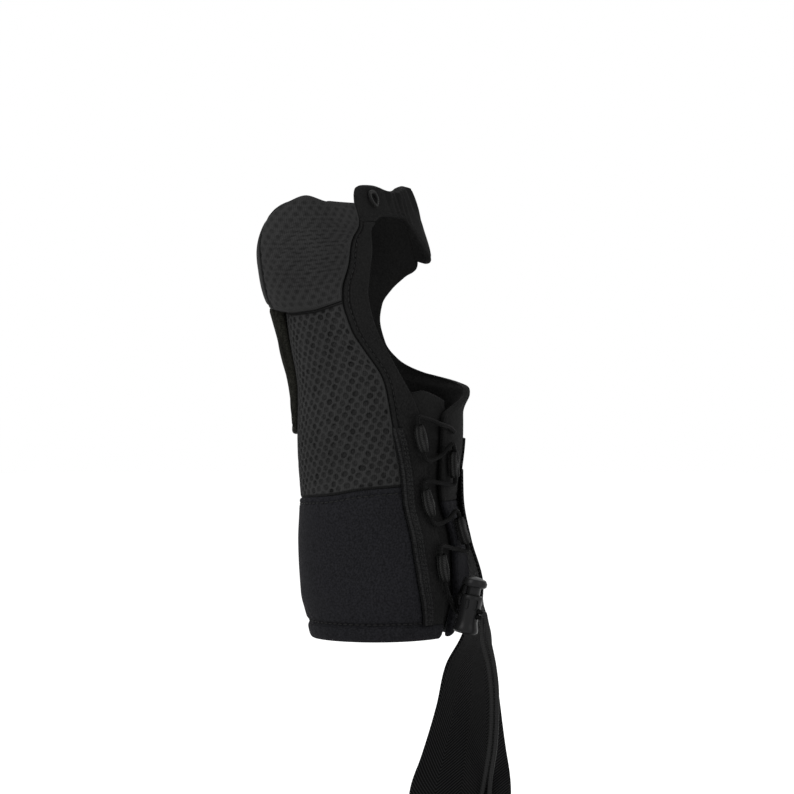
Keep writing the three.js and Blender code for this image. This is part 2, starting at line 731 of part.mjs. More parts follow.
function cordLock() {
  const side = (rows, low) => rows.map(({ out, up }) => [BARREL_RADIUS + out, low + up]);
  const barrelProfile = [
    [0, 0.8],
    [2.2, 0.2],
    ...side(BARREL_SIDE, 0),
    [BORE_RADIUS, BARREL_TALL],
    [BORE_RADIUS, BARREL_FLOOR],
    [0, BARREL_FLOOR],
  ];
  const holeLow = CORD_HOLE_UP - CORD_HOLE_TALL / 2;
  const holeHigh = CORD_HOLE_UP + CORD_HOLE_TALL / 2;
  const through = 4 * BARREL_RADIUS;
  const barrel = asSolid(turned(barrelProfile, LOCK_SIDES))
    .subtract(asSolid(cordHole(CORD_HOLE_WIDE, holeLow, holeHigh, through)));
  const headLow = BARREL_TALL + LOCK_TRAVEL + HEAD_CLEAR;
  const stemLow = BARREL_FLOOR + LOCK_TRAVEL + STEM_CLEAR;
  const buttonProfile = [
    [0, stemLow],
    [STEM_RADIUS - 0.4, stemLow],
    [STEM_RADIUS, stemLow + 0.6],
    [STEM_RADIUS, headLow],
    ...side(HEAD_SIDE, headLow),
    [0, headLow + HEAD_TALL],
  ];
  const button = asSolid(turned(buttonProfile, LOCK_SIDES))
    .subtract(asSolid(cordHole(CORD_HOLE_WIDE, holeLow, holeHigh + LOCK_TRAVEL, through)));
  for (const [name, solid] of [['cord_lock_barrel', barrel], ['cord_lock_button', button]]) {
    const mesh = add(name, asGeometry(solid), 'plastic');
    mesh.quaternion.copy(lockTurn);
    mesh.position.copy(lockFoot);
  }
}

// Middle line of a lacing loop, from over its upper end to under its lower end
function loopLine(name) {
  const mesh = brace.getObjectByName(name);
  mesh.updateMatrix();
  const half = LOOP_LENGTH / 2 + LACE_BEYOND_LOOP;
  return [half, 0, -half].map((y) => new THREE.Vector3(0, y, 0).applyMatrix4(mesh.matrix));
}

function laces() {
  const over = CLOTH + LACE_LIFT + LACE_RADIUS;
  const step = ({ loop, angle, z }) => (loop ? loopLine(loop) : onForm(angle, z, over));
  const along = (rows) => rows.flatMap(step);
  const throughLock = (up) => [BARREL_RADIUS + 1.4, 3, -BARREL_RADIUS - 1.2].map((y) => inLock(0, y, up));
  const route = [...along(LACE_PATH), ...throughLock(CORD_HOLE_UP - CORDS_APART)];
  add('lace', cord(route, LACE_RADIUS, 70), 'webbing');
  const anchored = [...along(LACE_END_PATH), ...throughLock(CORD_HOLE_UP + CORDS_APART)];
  add('lace_end', cord(anchored, LACE_RADIUS, 12), 'webbing');
  const tail = TAIL_ROUTE.map((at) => new THREE.Vector3(...at));
  add('lace_tail', cord(tail, LACE_RADIUS, 46), 'webbing');
}

function pullStrap() {
  const anchorPlace = (s, t) => ({ angle: mix(...ANCHOR_ANGLES, s), z: mix(...ANCHOR_HEIGHTS, t) });
  const under = CLOTH + LAYER_GAP;
  const anchor = wall(spread(8), spread(2), anchorPlace, flat(under), flat(under + ANCHOR_THICK));
  add('strap_anchor', anchor, 'webbing');

  const across = [-0.5, -0.25, 0, 0.25, 0.5];
  const upward = [...PULL_STRAP].reverse();
  const rows = spread(24).map((part) => mix(upward[0].z, upward.at(-1).z, part));
  const strap = closedSheet(across.length, rows.length, (face, i, j) => {
    const z = rows[j];
    const [x, y, turn, bow] = ['x', 'y', 'turn', 'bow'].map((column) => smooth(upward, 'z', z, column));
    const angle = THREE.MathUtils.degToRad(turn);
    const wide = new THREE.Vector3(Math.cos(angle), Math.sin(angle), 0);
    const out = new THREE.Vector3(-wide.y, wide.x, 0);
    const arch = bow * (1 - 4 * across[i] ** 2);
    return new THREE.Vector3(x, y, z)
      .addScaledVector(wide, across[i] * STRAP_WIDE)
      .addScaledVector(out, arch + (0.5 - face) * STRAP_THICK);
  });
  add('pull_strap', strap, 'webbing');
}

shellPanels();
paddedEdge();
stayPocket();
hemAndTape();
lacingTongue();
webStrap();
laceLoops();
cordLock();
laces();
pullStrap();

export default brace;
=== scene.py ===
"""Right wrist support: cloth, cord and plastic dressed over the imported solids.

Sewing sizes are in millimetres and are turned to metres where a mesh is made.
+X is the thumb side, +Y the back and +Z the finger end.
"""
import logging
import math
from contextlib import contextmanager
from dataclasses import dataclass, field, replace
from enum import Enum
from typing import Iterator, NamedTuple, Optional, Sequence

import bpy
import numpy as np
from mathutils import Matrix, Vector


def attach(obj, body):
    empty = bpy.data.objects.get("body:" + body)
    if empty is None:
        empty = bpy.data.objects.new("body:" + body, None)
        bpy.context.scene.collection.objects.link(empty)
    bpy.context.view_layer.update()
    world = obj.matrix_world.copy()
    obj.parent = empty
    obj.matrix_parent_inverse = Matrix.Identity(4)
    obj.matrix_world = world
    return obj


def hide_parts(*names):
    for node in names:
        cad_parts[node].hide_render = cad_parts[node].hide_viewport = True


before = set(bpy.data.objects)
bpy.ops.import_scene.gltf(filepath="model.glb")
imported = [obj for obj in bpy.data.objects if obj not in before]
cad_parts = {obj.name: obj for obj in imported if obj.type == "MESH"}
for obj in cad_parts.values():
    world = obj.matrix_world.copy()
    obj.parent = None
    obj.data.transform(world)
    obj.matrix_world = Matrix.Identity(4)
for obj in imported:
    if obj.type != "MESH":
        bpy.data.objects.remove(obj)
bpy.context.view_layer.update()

log = logging.getLogger("wrist_support")

Array = np.ndarray
Place = tuple[Array, Array]
Pair = tuple[float, float]
Triple = tuple[float, float, float]
Piece = bpy.types.Object
Node = bpy.types.Node
Socket = bpy.types.NodeSocket

MM = 0.001
TURN = math.tau
WAVE_SPREAD = (0.7, 1.6)
WAVE_PHASE = 6.28
WAVE_CREST = 1.4
# millimetres over which the painted shade at sewn edges fades
SEAM_SHADE = 0.7
TAPE_TURN = 9.5
TAPE_BACK = 0.2
TAPE_TOP = -3.0
TAPE_FADE = 9.0
TAPE_SINK = 1.7
TAPE_LIFT = 0.65
TAPE_THICK = 0.9
TAPE_ROWS = (0.62, 0.84)
TAPE_PITCH = 2.2
INNER_ROLL = (0.42, 0.6)
OUTER_ROLL = 0.5
PULL_WIDER = 1.3
PULL_FLATTER = 0.35
WHITE = (1, 1, 1, 1)
BRAID_STRANDS = 4
BRAID_PITCH = 2.2
CAP_RINGS = 4
CORD_SIDES = 16


class Body(Enum):
    """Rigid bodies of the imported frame."""

    BRACE = "brace"
    BUTTON = "button"


class Slot(Enum):
    """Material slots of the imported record."""

    MESH = "mesh"
    KNIT = "knit"
    TAPE = "tape"
    WEBBING = "webbing"
    CORD = "cord"
    PLASTIC = "plastic"


@dataclass(frozen=True)
class Table:
    """Short table read smoothly along its first column, with no overshoot between its rows."""

    columns: str
    rows: tuple[tuple[float, ...], ...]

    def read(self, column: str, at: Array) -> Array:
        """Reads one column.

        Args:
            column: Name of the column.
            at: Places along the first column.

        Returns:
            The column's values there.
        """
        cells = np.array(self.rows, dtype=float)
        x = cells[:, 0]
        y = cells[:, self.columns.split().index(column)]
        at = np.asarray(at, dtype=float)
        step = np.diff(x)
        rise = np.diff(y) / step
        slope = np.empty_like(y)
        slope[0], slope[-1] = rise[0], rise[-1]
        both = rise[:-1] * rise[1:]
        total = np.where(both > 0, rise[:-1] + rise[1:], 1.0)
        slope[1:-1] = np.where(both > 0, 2 * both / total, 0.0)
        k = np.clip(np.searchsorted(x, at, side="left") - 1, 0, len(x) - 2)
        t = np.clip((at - x[k]) / step[k], 0, 1)
        h = 1 - t
        ends = h * h * (1 + 2 * t) * y[k] + t * t * (1 + 2 * h) * y[k + 1]
        return ends + step[k] * t * h * (h * slope[k] - t * slope[k + 1])


def mix(low: Array, high: Array, share: Array) -> Array:
    """Straight blend of two values."""
    return low + (high - low) * share


def smoothstep(value: Array, low: float, high: float) -> Array:
    """Soft step from 0 to 1 between two values."""
    t = np.clip((value - low) / (high - low), 0, 1)
    return t * t * (3 - 2 * t)


def ridge(distance: Array, width: float) -> Array:
    """Soft ridge, 1 in its middle, of about that half width."""
    return np.exp(-((distance / width) ** 2))


def waves(x: Array, y: Array, seed: int, length: float, count: int = 7) -> Array:
    """Gentle uneven waves in cloth.

    Args:
        x: Millimetres across.
        y: Millimetres up.
        seed: Seed of the waves' directions.
        length: Usual length of a wave in millimetres.
        count: Number of waves that are added.

    Returns:
        Heights between about -1 and 1.
    """
    draw = np.random.default_rng(seed)
    total = np.zeros_like(x)
    for _ in range(count):
        turn = draw.uniform(0, math.pi)
        each = TURN / (length * draw.uniform(*WAVE_SPREAD))
        total += np.sin(each * (x * math.cos(turn) + y * math.sin(turn)) + draw.uniform(0, WAVE_PHASE))
    return total / count ** 0.5 / WAVE_CREST


def ripple(run: Array, pitch: float, shift: Array = 0.0) -> Array:
    """Even ripples along a run, one in each pitch, moved on by a phase."""
    return np.sin(run * TURN / pitch + shift)


def crest(close: Array, roll: float) -> Array:
    """Height of a rounded edge, from 0 at the edge to 1 where its roll ends."""
    near = np.clip(close / roll, 0, 1)
    return np.sqrt(1 - (1 - near) ** 2)


def soft_round(turn: Array, power: Array) -> Place:
    """Cosine and sine of a turn, raised to a power with their signs kept."""
    wide, tall = (np.sign(f(turn)) * np.abs(f(turn)) ** power for f in (np.cos, np.sin))
    return wide, tall


FORM_SECTIONS = Table("z cx cy wide deep square", (
    (-112, -2.2, 1.6, 33.0, 29.0, 2.1),
    (-100, -1.9, 1.2, 36.6, 31.8, 2.1),
    (-85, -1.7, 1.7, 40.0, 35.3, 2.1),
    (-60, -1.6, 1.9, 41.0, 36.0, 2.1),
    (-38, -2.4, 3.2, 39.1, 33.6, 2.1),
    (-10, -1.5, 2.7, 41.3, 34.8, 2.15),
    (15, -0.7, 3.3, 43.5, 33.0, 2.2),
    (40, -0.5, 8.5, 46.0, 30.0, 2.3),
    (65, -0.5, 15.0, 47.5, 26.5, 2.4),
    (90, 0.5, 21.5, 49.0, 23.0, 2.5),
    (112, 0.5, 27.0, 48.0, 20.5, 2.5),
    (124, 0.5, 30.0, 46.0, 19.5, 2.5),
))
MESH_SEAM = Table("z angle", (
    (-101, 250.5), (-83, 244), (-60, 238), (-32, 234), (-4, 226), (20, 222.5), (34, 214.7),
    (44, 209.3), (54, 208.4), (63, 211.9), (76, 224.6), (86, 232.2), (90, 236.6),
    (93, 241.2), (96, 244.6), (100, 246.4), (108, 247),
))
PALM_EDGE = Table("z angle", (
    (-101, 272), (-79, 267), (-47, 259), (-15, 252.5), (4, 247.5), (13, 243), (20, 238.5),
    (30, 234.3), (47, 229.8), (59, 232.1), (71, 240.3), (84, 250.6), (94, 255.5), (97.5, 260.5),
))
INDEX_SEAM = -10
BACK_TOP = 113
THUMB_EDGE = Table("z angle", (
    (-101, -73), (-79, -77.5), (-47, -85.5), (-30, -90), (-12, -91.5), (2, -89), (7.5, -78),
    (12, -64), (16, -50), (19, -28), (24, 2), (31, 22), (40, 32), (50, 34.5), (60, 30),
    (68, 18), (74, 4), (79, -8), (82, INDEX_SEAM), (BACK_TOP, INDEX_SEAM),
))
CUFF_SEAM_BACK = -40
CUFF_SEAM_PALM = -32
CUFF_SEAM = Table("angle z", (
    (-92, CUFF_SEAM_BACK), (104, CUFF_SEAM_BACK), (130, -38.4), (174, -36.8), (205, -33.6),
    (236, CUFF_SEAM_PALM),
))
PAD_SEAM = Table("angle z", ((97, 56), (137, 54), (163, 52.5), (180, 53.2), (196, 55.6), (209, 57.8)))
PAD_TOP = Table("angle z", (
    (104, 84), (122, 89.5), (150, 98.6), (176, 106), (200, 109.8), (223, 106.9), (246, 107),
))
CUFF_LOW = -100.5
BACK_SEAM = 104
SEAM_GAP = 0.4
SEAM_ANGLE_GAP = 0.95
CLOTH = 3.0
BAND_CLOTH = 2.6
LAYER_GAP = 0.45


@dataclass(frozen=True)
class ShellForm:
    """Inner face of the shell: level sections from the hem to the top, as rounded ovals."""

    sections: Table = FORM_SECTIONS

    def point(self, angle: Array, z: Array, out: Array) -> Array:
        """Places points on the form.

        Args:
            angle: Degrees round it, 0 at the thumb side and 90 at the back.
            z: Heights in millimetres.
            out: Millimetres out from the inner face.

        Returns:
            Points in metres, one in each last row.
        """
        angle, z, out = np.broadcast_arrays(angle, z, out)
        read = {name: self.sections.read(name, z) for name in ("cx", "cy", "wide", "deep", "square")}
        cosine, sine = soft_round(np.radians(angle), 2 / read["square"])
        x = read["cx"] + (read["wide"] + out) * cosine
        y = read["cy"] + (read["deep"] + out) * sine
        return np.stack([x, y, z], axis=-1) * MM

    def seat(self, angle: float, z: float, out: float, lean: float = 0.0) -> Matrix:
        """Stand for a piece on the form.

        Args:
            angle: Degrees round the form.
            z: Height in millimetres.
            out: Millimetres out from the inner face.
            lean: Degrees that the piece is turned about the way out.

        Returns:
            Matrix whose +X runs round, +Y up and +Z out, in metres.
        """
        at = Vector(self.point(angle, z, out))
        along = Vector(self.point(angle + 1, z, out) - self.point(angle - 1, z, out)).normalized()
        rise = Vector(self.point(angle, z + 2, out) - self.point(angle, z - 2, out)).normalized()
        outward = along.cross(rise).normalized()
        stand = Matrix((along, outward.cross(along), outward)).transposed().to_4x4()
        return Matrix.Translation(at) @ stand @ Matrix.Rotation(math.radians(lean), 4, "Z")


FORM = ShellForm()


class Graph:
    """Adds and joins the nodes of one shader tree."""

    def __init__(self, tree: bpy.types.NodeTree) -> None:
        """Starts on an empty tree."""
        self.tree = tree

    def add(self, kind: str, **values: object) -> Node:
        """Adds a node.

        Args:
            kind: Type of the node.
            values: Its options by name.

        Returns:
            The node.
        """
        node = self.tree.nodes.new(kind)
        for key, value in values.items():
            setattr(node, key, value)
        return node

    def feed(self, socket: Socket, value: object) -> None:
        """Links a socket to another, or gives it a constant.

        Args:
            socket: Input that is fed.
            value: Socket or constant.
        """
        if isinstance(value, Socket):
            self.tree.links.new(value, socket)
        else:
            socket.default_value = value

    def math(self, operation: str, first: object, second: object = 0.0) -> Socket:
        """Adds one sum.

        Args:
            operation: Kind of sum.
            first: First socket or number.
            second: Second one.

        Returns:
            Its result.
        """
        node = self.add("ShaderNodeMath", operation=operation)
        self.feed(node.inputs[0], first)
        self.feed(node.inputs[1], second)
        return node.outputs[0]

    def sine(self, turns: Socket) -> Socket:
        """Sine of a phase given in turns."""
        return self.math("SINE", self.math("MULTIPLY", turns, TURN))

    def blend(self, share: object, first: object, second: object) -> Socket:
        """Blends two colours.

        Args:
            share: Share of the second colour.
            first: First colour.
            second: Second colour.

        Returns:
            The blended colour.
        """
        node = self.add("ShaderNodeMix", data_type="RGBA")
        self.feed(node.inputs[0], share)
        self.feed(node.inputs[6], first)
        self.feed(node.inputs[7], second)
        return node.outputs[2]

    def group(self, name: str, **inputs: object) -> Node:
        """Places a shared effect.

        Args:
            name: Name of the effect.
            inputs: What feeds its inputs, by name.

        Returns:
            Its node.
        """
        node = self.add("ShaderNodeGroup", node_tree=bpy.data.node_groups[name])
        for key, value in inputs.items():
            self.feed(node.inputs[key], value)
        return node


def set_inputs(node: Node, values: dict[str, object]) -> None:
    """Gives a node's inputs constants by name."""
    for key, value in values.items():
        node.inputs[key].default_value = value


class Effects:
    """Shader effects that more than one finish uses."""

    KNIT = "close_knit"
    TWILL = "twill_ribs"
    BRAID = "cord_braid"
    TONE = "cloth_tone"
    LOOP_SLANT, LOOP_SHARE = 0.6, 0.25
    RIB_SHARE, THREAD_SHARE, THREAD_PITCH = 0.38, 0.1, 0.35
    PATCH_DETAIL, FUZZ_DETAIL = 3.0, 4.0

    @classmethod
    def build(cls) -> None:
        """Builds every effect once."""
        cls._knit()
        cls._twill()
        cls._braid()
        cls._tone()

    @staticmethod
    def _start(name: str, inputs: Sequence[str], outputs: Sequence[str]) -> tuple[Graph, dict, dict]:
        """Opens a group with a place input, number inputs and number outputs.

        Args:
            name: Name of the effect.
            inputs: Names of its numbers.
            outputs: Names of what it puts out.

        Returns:
            The graph, its inputs by name and its outputs by name.
        """
        tree = bpy.data.node_groups.new(name, "ShaderNodeTree")
        tree.interface.new_socket(name="Place", in_out="INPUT", socket_type="NodeSocketVector")
        for key in inputs:
            tree.interface.new_socket(name=key, in_out="INPUT", socket_type="NodeSocketFloat")
        for key in outputs:
            tree.interface.new_socket(name=key, in_out="OUTPUT", socket_type="NodeSocketFloat")
        graph = Graph(tree)
        entry = graph.add("NodeGroupInput")
        leave = graph.add("NodeGroupOutput")
        return graph, {s.name: s for s in entry.outputs}, {s.name: s for s in leave.inputs}

    @staticmethod
    def _ways(graph: Graph, take: dict) -> tuple[Socket, Socket]:
        """Places across and along the cloth."""
        split = graph.add("ShaderNodeSeparateXYZ")
        graph.feed(split.inputs[0], take["Place"])
        return split.outputs[0], split.outputs[1]

    @classmethod
    def _knit(cls) -> None:
        """Columns of small knitted loops."""
        graph, take, give = cls._start(cls.KNIT, ("Wale", "Course"), ("Height",))
        across, along = cls._ways(graph, take)
        wale = graph.math("DIVIDE", across, take["Wale"])
        side = graph.math("MULTIPLY", graph.math("PINGPONG", wale, 0.5), 2.0)
        course = graph.math("DIVIDE", along, take["Course"])
        loop = graph.sine(graph.math("ADD", course, graph.math("MULTIPLY", side, cls.LOOP_SLANT)))
        body = graph.math("ADD", graph.math("MULTIPLY", loop, cls.LOOP_SHARE), 1 - cls.LOOP_SHARE)
        graph.feed(give["Height"], graph.math("MULTIPLY", graph.math("POWER", side, 0.5), body))

    @classmethod
    def _twill(cls) -> None:
        """Slanting ribs that turn back at each stripe."""
        graph, take, give = cls._start(cls.TWILL, ("Pitch", "Stripe", "Slope"), ("Height",))
        across, along = cls._ways(graph, take)
        zigzag = graph.math("PINGPONG", across, take["Stripe"])
        lean = graph.math("ADD", along, graph.math("MULTIPLY", zigzag, take["Slope"]))
        rib = graph.sine(graph.math("DIVIDE", lean, take["Pitch"]))
        pitch = graph.math("MULTIPLY", take["Pitch"], cls.THREAD_PITCH)
        thread = graph.math("MULTIPLY", graph.sine(graph.math("DIVIDE", across, pitch)), cls.THREAD_SHARE)
        both = graph.math("ADD", graph.math("MULTIPLY", rib, cls.RIB_SHARE), thread)
        graph.feed(give["Height"], graph.math("ADD", both, 0.5))

    @classmethod
    def _braid(cls) -> None:
        """Two crossing families of strands round a cord."""
        graph, take, give = cls._start(cls.BRAID, ("Strands", "Pitch"), ("Height",))
        across, along = cls._ways(graph, take)
        turn = graph.math("MULTIPLY", across, take["Strands"])
        run = graph.math("DIVIDE", along, take["Pitch"])
        left, right = (graph.sine(graph.math(way, turn, run)) for way in ("ADD", "SUBTRACT"))
        crossing = graph.math("MULTIPLY", left, right)
        graph.feed(give["Height"], graph.math("ADD", graph.math("MULTIPLY", crossing, 0.5), 0.5))

    @classmethod
    def _tone(cls) -> None:
        """Slow uneven tone in cloth, and fine fuzz."""
        graph, take, give = cls._start(cls.TONE, ("Patch", "Fuzz"), ("Tone", "Fibre"))
        for scale, detail, name in (("Patch", cls.PATCH_DETAIL, "Tone"), ("Fuzz", cls.FUZZ_DETAIL, "Fibre")):
            noise = graph.add("ShaderNodeTexNoise")
            graph.feed(noise.inputs["Vector"], take["Place"])
            graph.feed(noise.inputs["Scale"], take[scale])
            graph.feed(noise.inputs["Detail"], detail)
            graph.feed(give[name], noise.outputs["Fac"])


class Pattern(Enum):
    """Which woven pattern a finish carries."""

    KNIT = Effects.KNIT
    TWILL = Effects.TWILL
    BRAID = Effects.BRAID


@dataclass(frozen=True)
class Finish:
    """Two close tones of one material, and how its shader is wired."""

    name: str
    low: Triple
    high: Triple

    def wire(self, graph: Graph, shader: Node) -> None:
        """Wires the finish into its shader."""
        raise NotImplementedError

    def tones(self, graph: Graph, share: Socket) -> Socket:
        """Blend of the two tones."""
        return graph.blend(share, (*self.low, 1.0), (*self.high, 1.0))

    def raise_face(self, graph: Graph, shader: Node, height: Socket, strength: float, depth: float) -> None:
        """Raises the face.

        Args:
            graph: Graph of the material.
            shader: Its main shader.
            height: Height from 0 to about 1.
            strength: Strength of the bump.
            depth: Millimetres that a height of 1 stands up.
        """
        bump = graph.add("ShaderNodeBump")
        set_inputs(bump, {"Strength": strength, "Distance": depth * MM})
        graph.feed(bump.inputs["Height"], height)
        graph.feed(shader.inputs["Normal"], bump.outputs["Normal"])

    def material(self) -> bpy.types.Material:
        """Builds the material, or finds it.

        Returns:
            The node material.
        """
        material = bpy.data.materials.get(self.name)
        if material is None:
            material = bpy.data.materials.new(self.name)
            material.use_nodes = True
            self.wire(Graph(material.node_tree), material.node_tree.nodes["Principled BSDF"])
        return material


@dataclass(frozen=True)
class ClothFinish(Finish):
    """Cloth in two close tones with a woven pattern, fuzz and a soft sheen."""

    pattern: Pattern
    numbers: tuple[tuple[str, float], ...]
    depth: float
    # strength of the painted shade that the "hollow" attribute lays on the colour
    hollow: float = 0.0
    rough: float = 0.85
    sheen: float = 0.006
    shine: float = 0.03
    contrast: float = 0.7
    fuzz: float = 2600.0
    grain: float = 0.5
    patch: float = 42.0
    uneven: float = 0.45
    fuzz_height: float = 0.35
    rough_spread: float = 0.2
    # dark tone of the painted shade, as a share of the low tone
    shade: float = 0.2
    raised: float = 0.8
    sheen_rough: float = 0.5

    def wire(self, graph: Graph, shader: Node) -> None:
        """Wires the finish into its shader.

        Args:
            graph: Graph of the material.
            shader: Its main shader.
        """
        cloth = graph.add("ShaderNodeUVMap", uv_map="cloth")
        weave = graph.group(self.pattern.value, Place=cloth.outputs[0], **dict(self.numbers))
        place = graph.add("ShaderNodeTexCoord")
        tone = graph.group(Effects.TONE, Place=place.outputs["Object"], Patch=self.patch, Fuzz=self.fuzz)
        weave_height, fibre = weave.outputs["Height"], tone.outputs["Fibre"]
        share: object = 0.5
        parts = ((weave_height, self.contrast), (tone.outputs["Tone"], self.uneven), (fibre, self.grain))
        for part, weight in parts:
            swing = graph.math("MULTIPLY", graph.math("SUBTRACT", part, 0.5), weight)
            share = graph.math("ADD", share, swing)
        limit = graph.add("ShaderNodeClamp")
        graph.feed(limit.inputs[0], share)
        colour = self.tones(graph, limit.outputs[0])
        # painted shade: the "hollow" attribute darkens the colour, mostly in grooves, seams and hollows
        if self.hollow:
            mark = graph.add("ShaderNodeAttribute", attribute_name="hollow")
            shade = graph.math("MULTIPLY", mark.outputs["Fac"], self.hollow)
            colour = graph.blend(shade, colour, (*(self.shade * part for part in self.low), 1.0))
        graph.feed(shader.inputs["Base Color"], colour)
        fuzz = graph.math("MULTIPLY", fibre, self.fuzz_height)
        self.raise_face(graph, shader, graph.math("ADD", weave_height, fuzz), self.raised, self.depth)
        rough = graph.math("MULTIPLY", tone.outputs["Tone"], self.rough_spread)
        graph.feed(shader.inputs["Roughness"], graph.math("ADD", rough, self.rough - self.rough_spread / 2))
        set_inputs(shader, {
            "Specular IOR Level": self.shine, "Sheen Weight": self.sheen, "Sheen Roughness": self.sheen_rough,
        })


@dataclass(frozen=True)
class PlasticFinish(Finish):
    """Moulded plastic with faint flow marks and fine handling wear."""

    rough: float = 0.34
    wear: float = 0.16
    shine: float = 0.09
    patch: float = 160.0
    fuzz: float = 900.0
    raised: float = 0.25
    depth: float = 0.05

    def wire(self, graph: Graph, shader: Node) -> None:
        """Wires the finish into its shader.

        Args:
            graph: Graph of the material.
            shader: Its main shader.
        """
        place = graph.add("ShaderNodeTexCoord")
        tone = graph.group(Effects.TONE, Place=place.outputs["Object"], Patch=self.patch, Fuzz=self.fuzz)
        graph.feed(shader.inputs["Base Color"], self.tones(graph, tone.outputs["Tone"]))
        wear = graph.math("MULTIPLY", tone.outputs["Fibre"], self.wear)
        graph.feed(shader.inputs["Roughness"], graph.math("ADD", wear, self.rough - self.wear / 2))
        self.raise_face(graph, shader, tone.outputs["Fibre"], self.raised, self.depth)
        set_inputs(shader, {"Specular IOR Level": self.shine})


SPACER_MESH = ClothFinish(
    "spacer_mesh", (0.006, 0.006, 0.006), (0.0278, 0.0278, 0.0278), Pattern.KNIT,
    (("Wale", 0.9), ("Course", 0.7)), 0.12, hollow=0.95, contrast=0.45, fuzz=1400.0,
)
CLOSE_KNIT = ClothFinish(
    "close_knit_cloth", (0.0042, 0.0042, 0.0049), (0.0102, 0.0102, 0.0118), Pattern.KNIT,
    (("Wale", 0.8), ("Course", 0.62)), 0.1, hollow=0.8, fuzz=1100.0, grain=3.2,
)
BAND_KNIT = ClothFinish(
    "band_knit", (0.0036, 0.0036, 0.0036), (0.0096, 0.0096, 0.0095), Pattern.KNIT,
    (("Wale", 0.8), ("Course", 0.62)), 0.1, hollow=0.8, fuzz=1100.0, grain=2.0,
)
SEAM_BINDING = ClothFinish(
    "seam_binding", (0.0026, 0.0026, 0.0027), (0.0185, 0.0185, 0.0187), Pattern.TWILL,
    (("Pitch", 1.1), ("Stripe", 60.0), ("Slope", 0.15)), 0.14,
    hollow=0.8, contrast=0.3, fuzz=1100.0, grain=2.0,
)
STAY_BINDING = ClothFinish(
    "stay_binding", (0.0046, 0.0046, 0.0036), (0.021, 0.021, 0.0175), Pattern.TWILL,
    (("Pitch", 1.1), ("Stripe", 60.0), ("Slope", 0.15)), 0.14, hollow=0.85, fuzz=1100.0, grain=2.4,
)
PIPING = ClothFinish(
    "edge_piping", (0.009, 0.009, 0.009), (0.026, 0.026, 0.026), Pattern.BRAID,
    (("Strands", 5.0), ("Pitch", 1.6)), 0.1,
)
WEBBING = ClothFinish(
    "twill_webbing", (0.0006, 0.0006, 0.0006), (0.0085, 0.0085, 0.0087), Pattern.TWILL,
    (("Pitch", 1.9), ("Stripe", 12.5), ("Slope", 1.15)), 0.5, rough=0.75, shine=0.025, contrast=1.8,
)
LOOP_WEBBING = ClothFinish(
    "loop_webbing", (0.004, 0.004, 0.004), (0.019, 0.019, 0.0185), Pattern.TWILL,
    (("Pitch", 1.2), ("Stripe", 1.6), ("Slope", 0.7)), 0.32,
    hollow=1.0, rough=0.5, shine=0.08, contrast=1.1,
)
# painted shade: the lace over the tongue and into the lock is a darker copy of the same braided cord as its
# hanging tail
SHADED_LACE_CORD = ClothFinish(
    "shaded_braided_cord", (0.0008, 0.0008, 0.0008), (0.0046, 0.0046, 0.0046), Pattern.BRAID,
    (("Strands", BRAID_STRANDS), ("Pitch", BRAID_PITCH)), 0.2, rough=0.6,
)
# painted light: the hanging tail is a lighter copy of the same braided lace
LIT_TAIL_CORD = ClothFinish(
    "lit_tail_cord", (0.0026, 0.0026, 0.0026), (0.016, 0.016, 0.016), Pattern.BRAID,
    (("Strands", BRAID_STRANDS), ("Pitch", BRAID_PITCH)), 0.2, rough=0.55, shine=0.06,
)
THREAD = ClothFinish(
    "sewing_thread", (0.0034, 0.0034, 0.0034), (0.019, 0.019, 0.019), Pattern.BRAID,
    (("Strands", 2.0), ("Pitch", 0.9)), 0.08, rough=0.55,
)
LOCK_PLASTIC = PlasticFinish("lock_plastic", (0.0056, 0.0056, 0.0059), (0.0078, 0.0078, 0.0081))


def make_object(
    name: str,
    points: Array,
    faces: Sequence[Array],
    cloth: Optional[Array] = None,
    hollow: Optional[Array] = None,
) -> Piece:
    """Makes a smooth mesh object at the origin.

    Args:
        name: Name of the piece.
        points: Points in metres.
        faces: Arrays of faces, each with one count of corners.
        cloth: Millimetres across and along the cloth at each point, kept as the UV map "cloth".
        hollow: How far the cloth is darkened at each point, mostly painted shade in grooves, seams and
            hollows, kept as the attribute "hollow"; 0 if not given.

    Returns:
        The new object.
    """
    mesh = bpy.data.meshes.new(name)
    points = points.reshape(-1, 3)
    corners = np.concatenate([part.ravel() for part in faces]).astype(np.int32)
    counts = np.concatenate([np.full(len(part), part.shape[1]) for part in faces])
    mesh.vertices.add(len(points))
    mesh.vertices.foreach_set("co", np.ascontiguousarray(points, dtype=np.float32).ravel())
    mesh.loops.add(len(corners))
    mesh.loops.foreach_set("vertex_index", corners)
    mesh.polygons.add(len(counts))
    starts = np.concatenate([[0], np.cumsum(counts)[:-1]]).astype(np.int32)
    mesh.polygons.foreach_set("loop_start", starts)
    mesh.polygons.foreach_set("use_smooth", np.ones(len(counts), dtype=bool))
    mesh.update(calc_edges=True)
    if cloth is not None:
        layer = mesh.uv_layers.new(name="cloth")
        layer.data.foreach_set("uv", cloth[corners].astype(np.float32).ravel())
        mark = mesh.attributes.new("hollow", "FLOAT", "POINT")
        if hollow is not None:
            mark.data.foreach_set("value", hollow.astype(np.float32))
    mesh.validate()
    piece = bpy.data.objects.new(name, mesh)
    bpy.context.scene.collection.objects.link(piece)
    return piece


def dress(piece: Piece, finish: Finish, slot: Slot, *nodes: str, body: Body = Body.BRACE) -> None:
    """Gives a piece its finish and its body, and hides the solids that it stands for.

    Args:
        piece: The piece.
        finish: Its finish.
        slot: Its slot in the record; not used.
        nodes: Solids that it takes the place of.
        body: Rigid body that it moves with.
    """
    piece.data.materials.clear()
    piece.data.materials.append(finish.material())
    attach(piece, body.value)
    if nodes:
        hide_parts(*nodes)
    log.info("%s: %d faces", piece.name, len(piece.data.polygons))


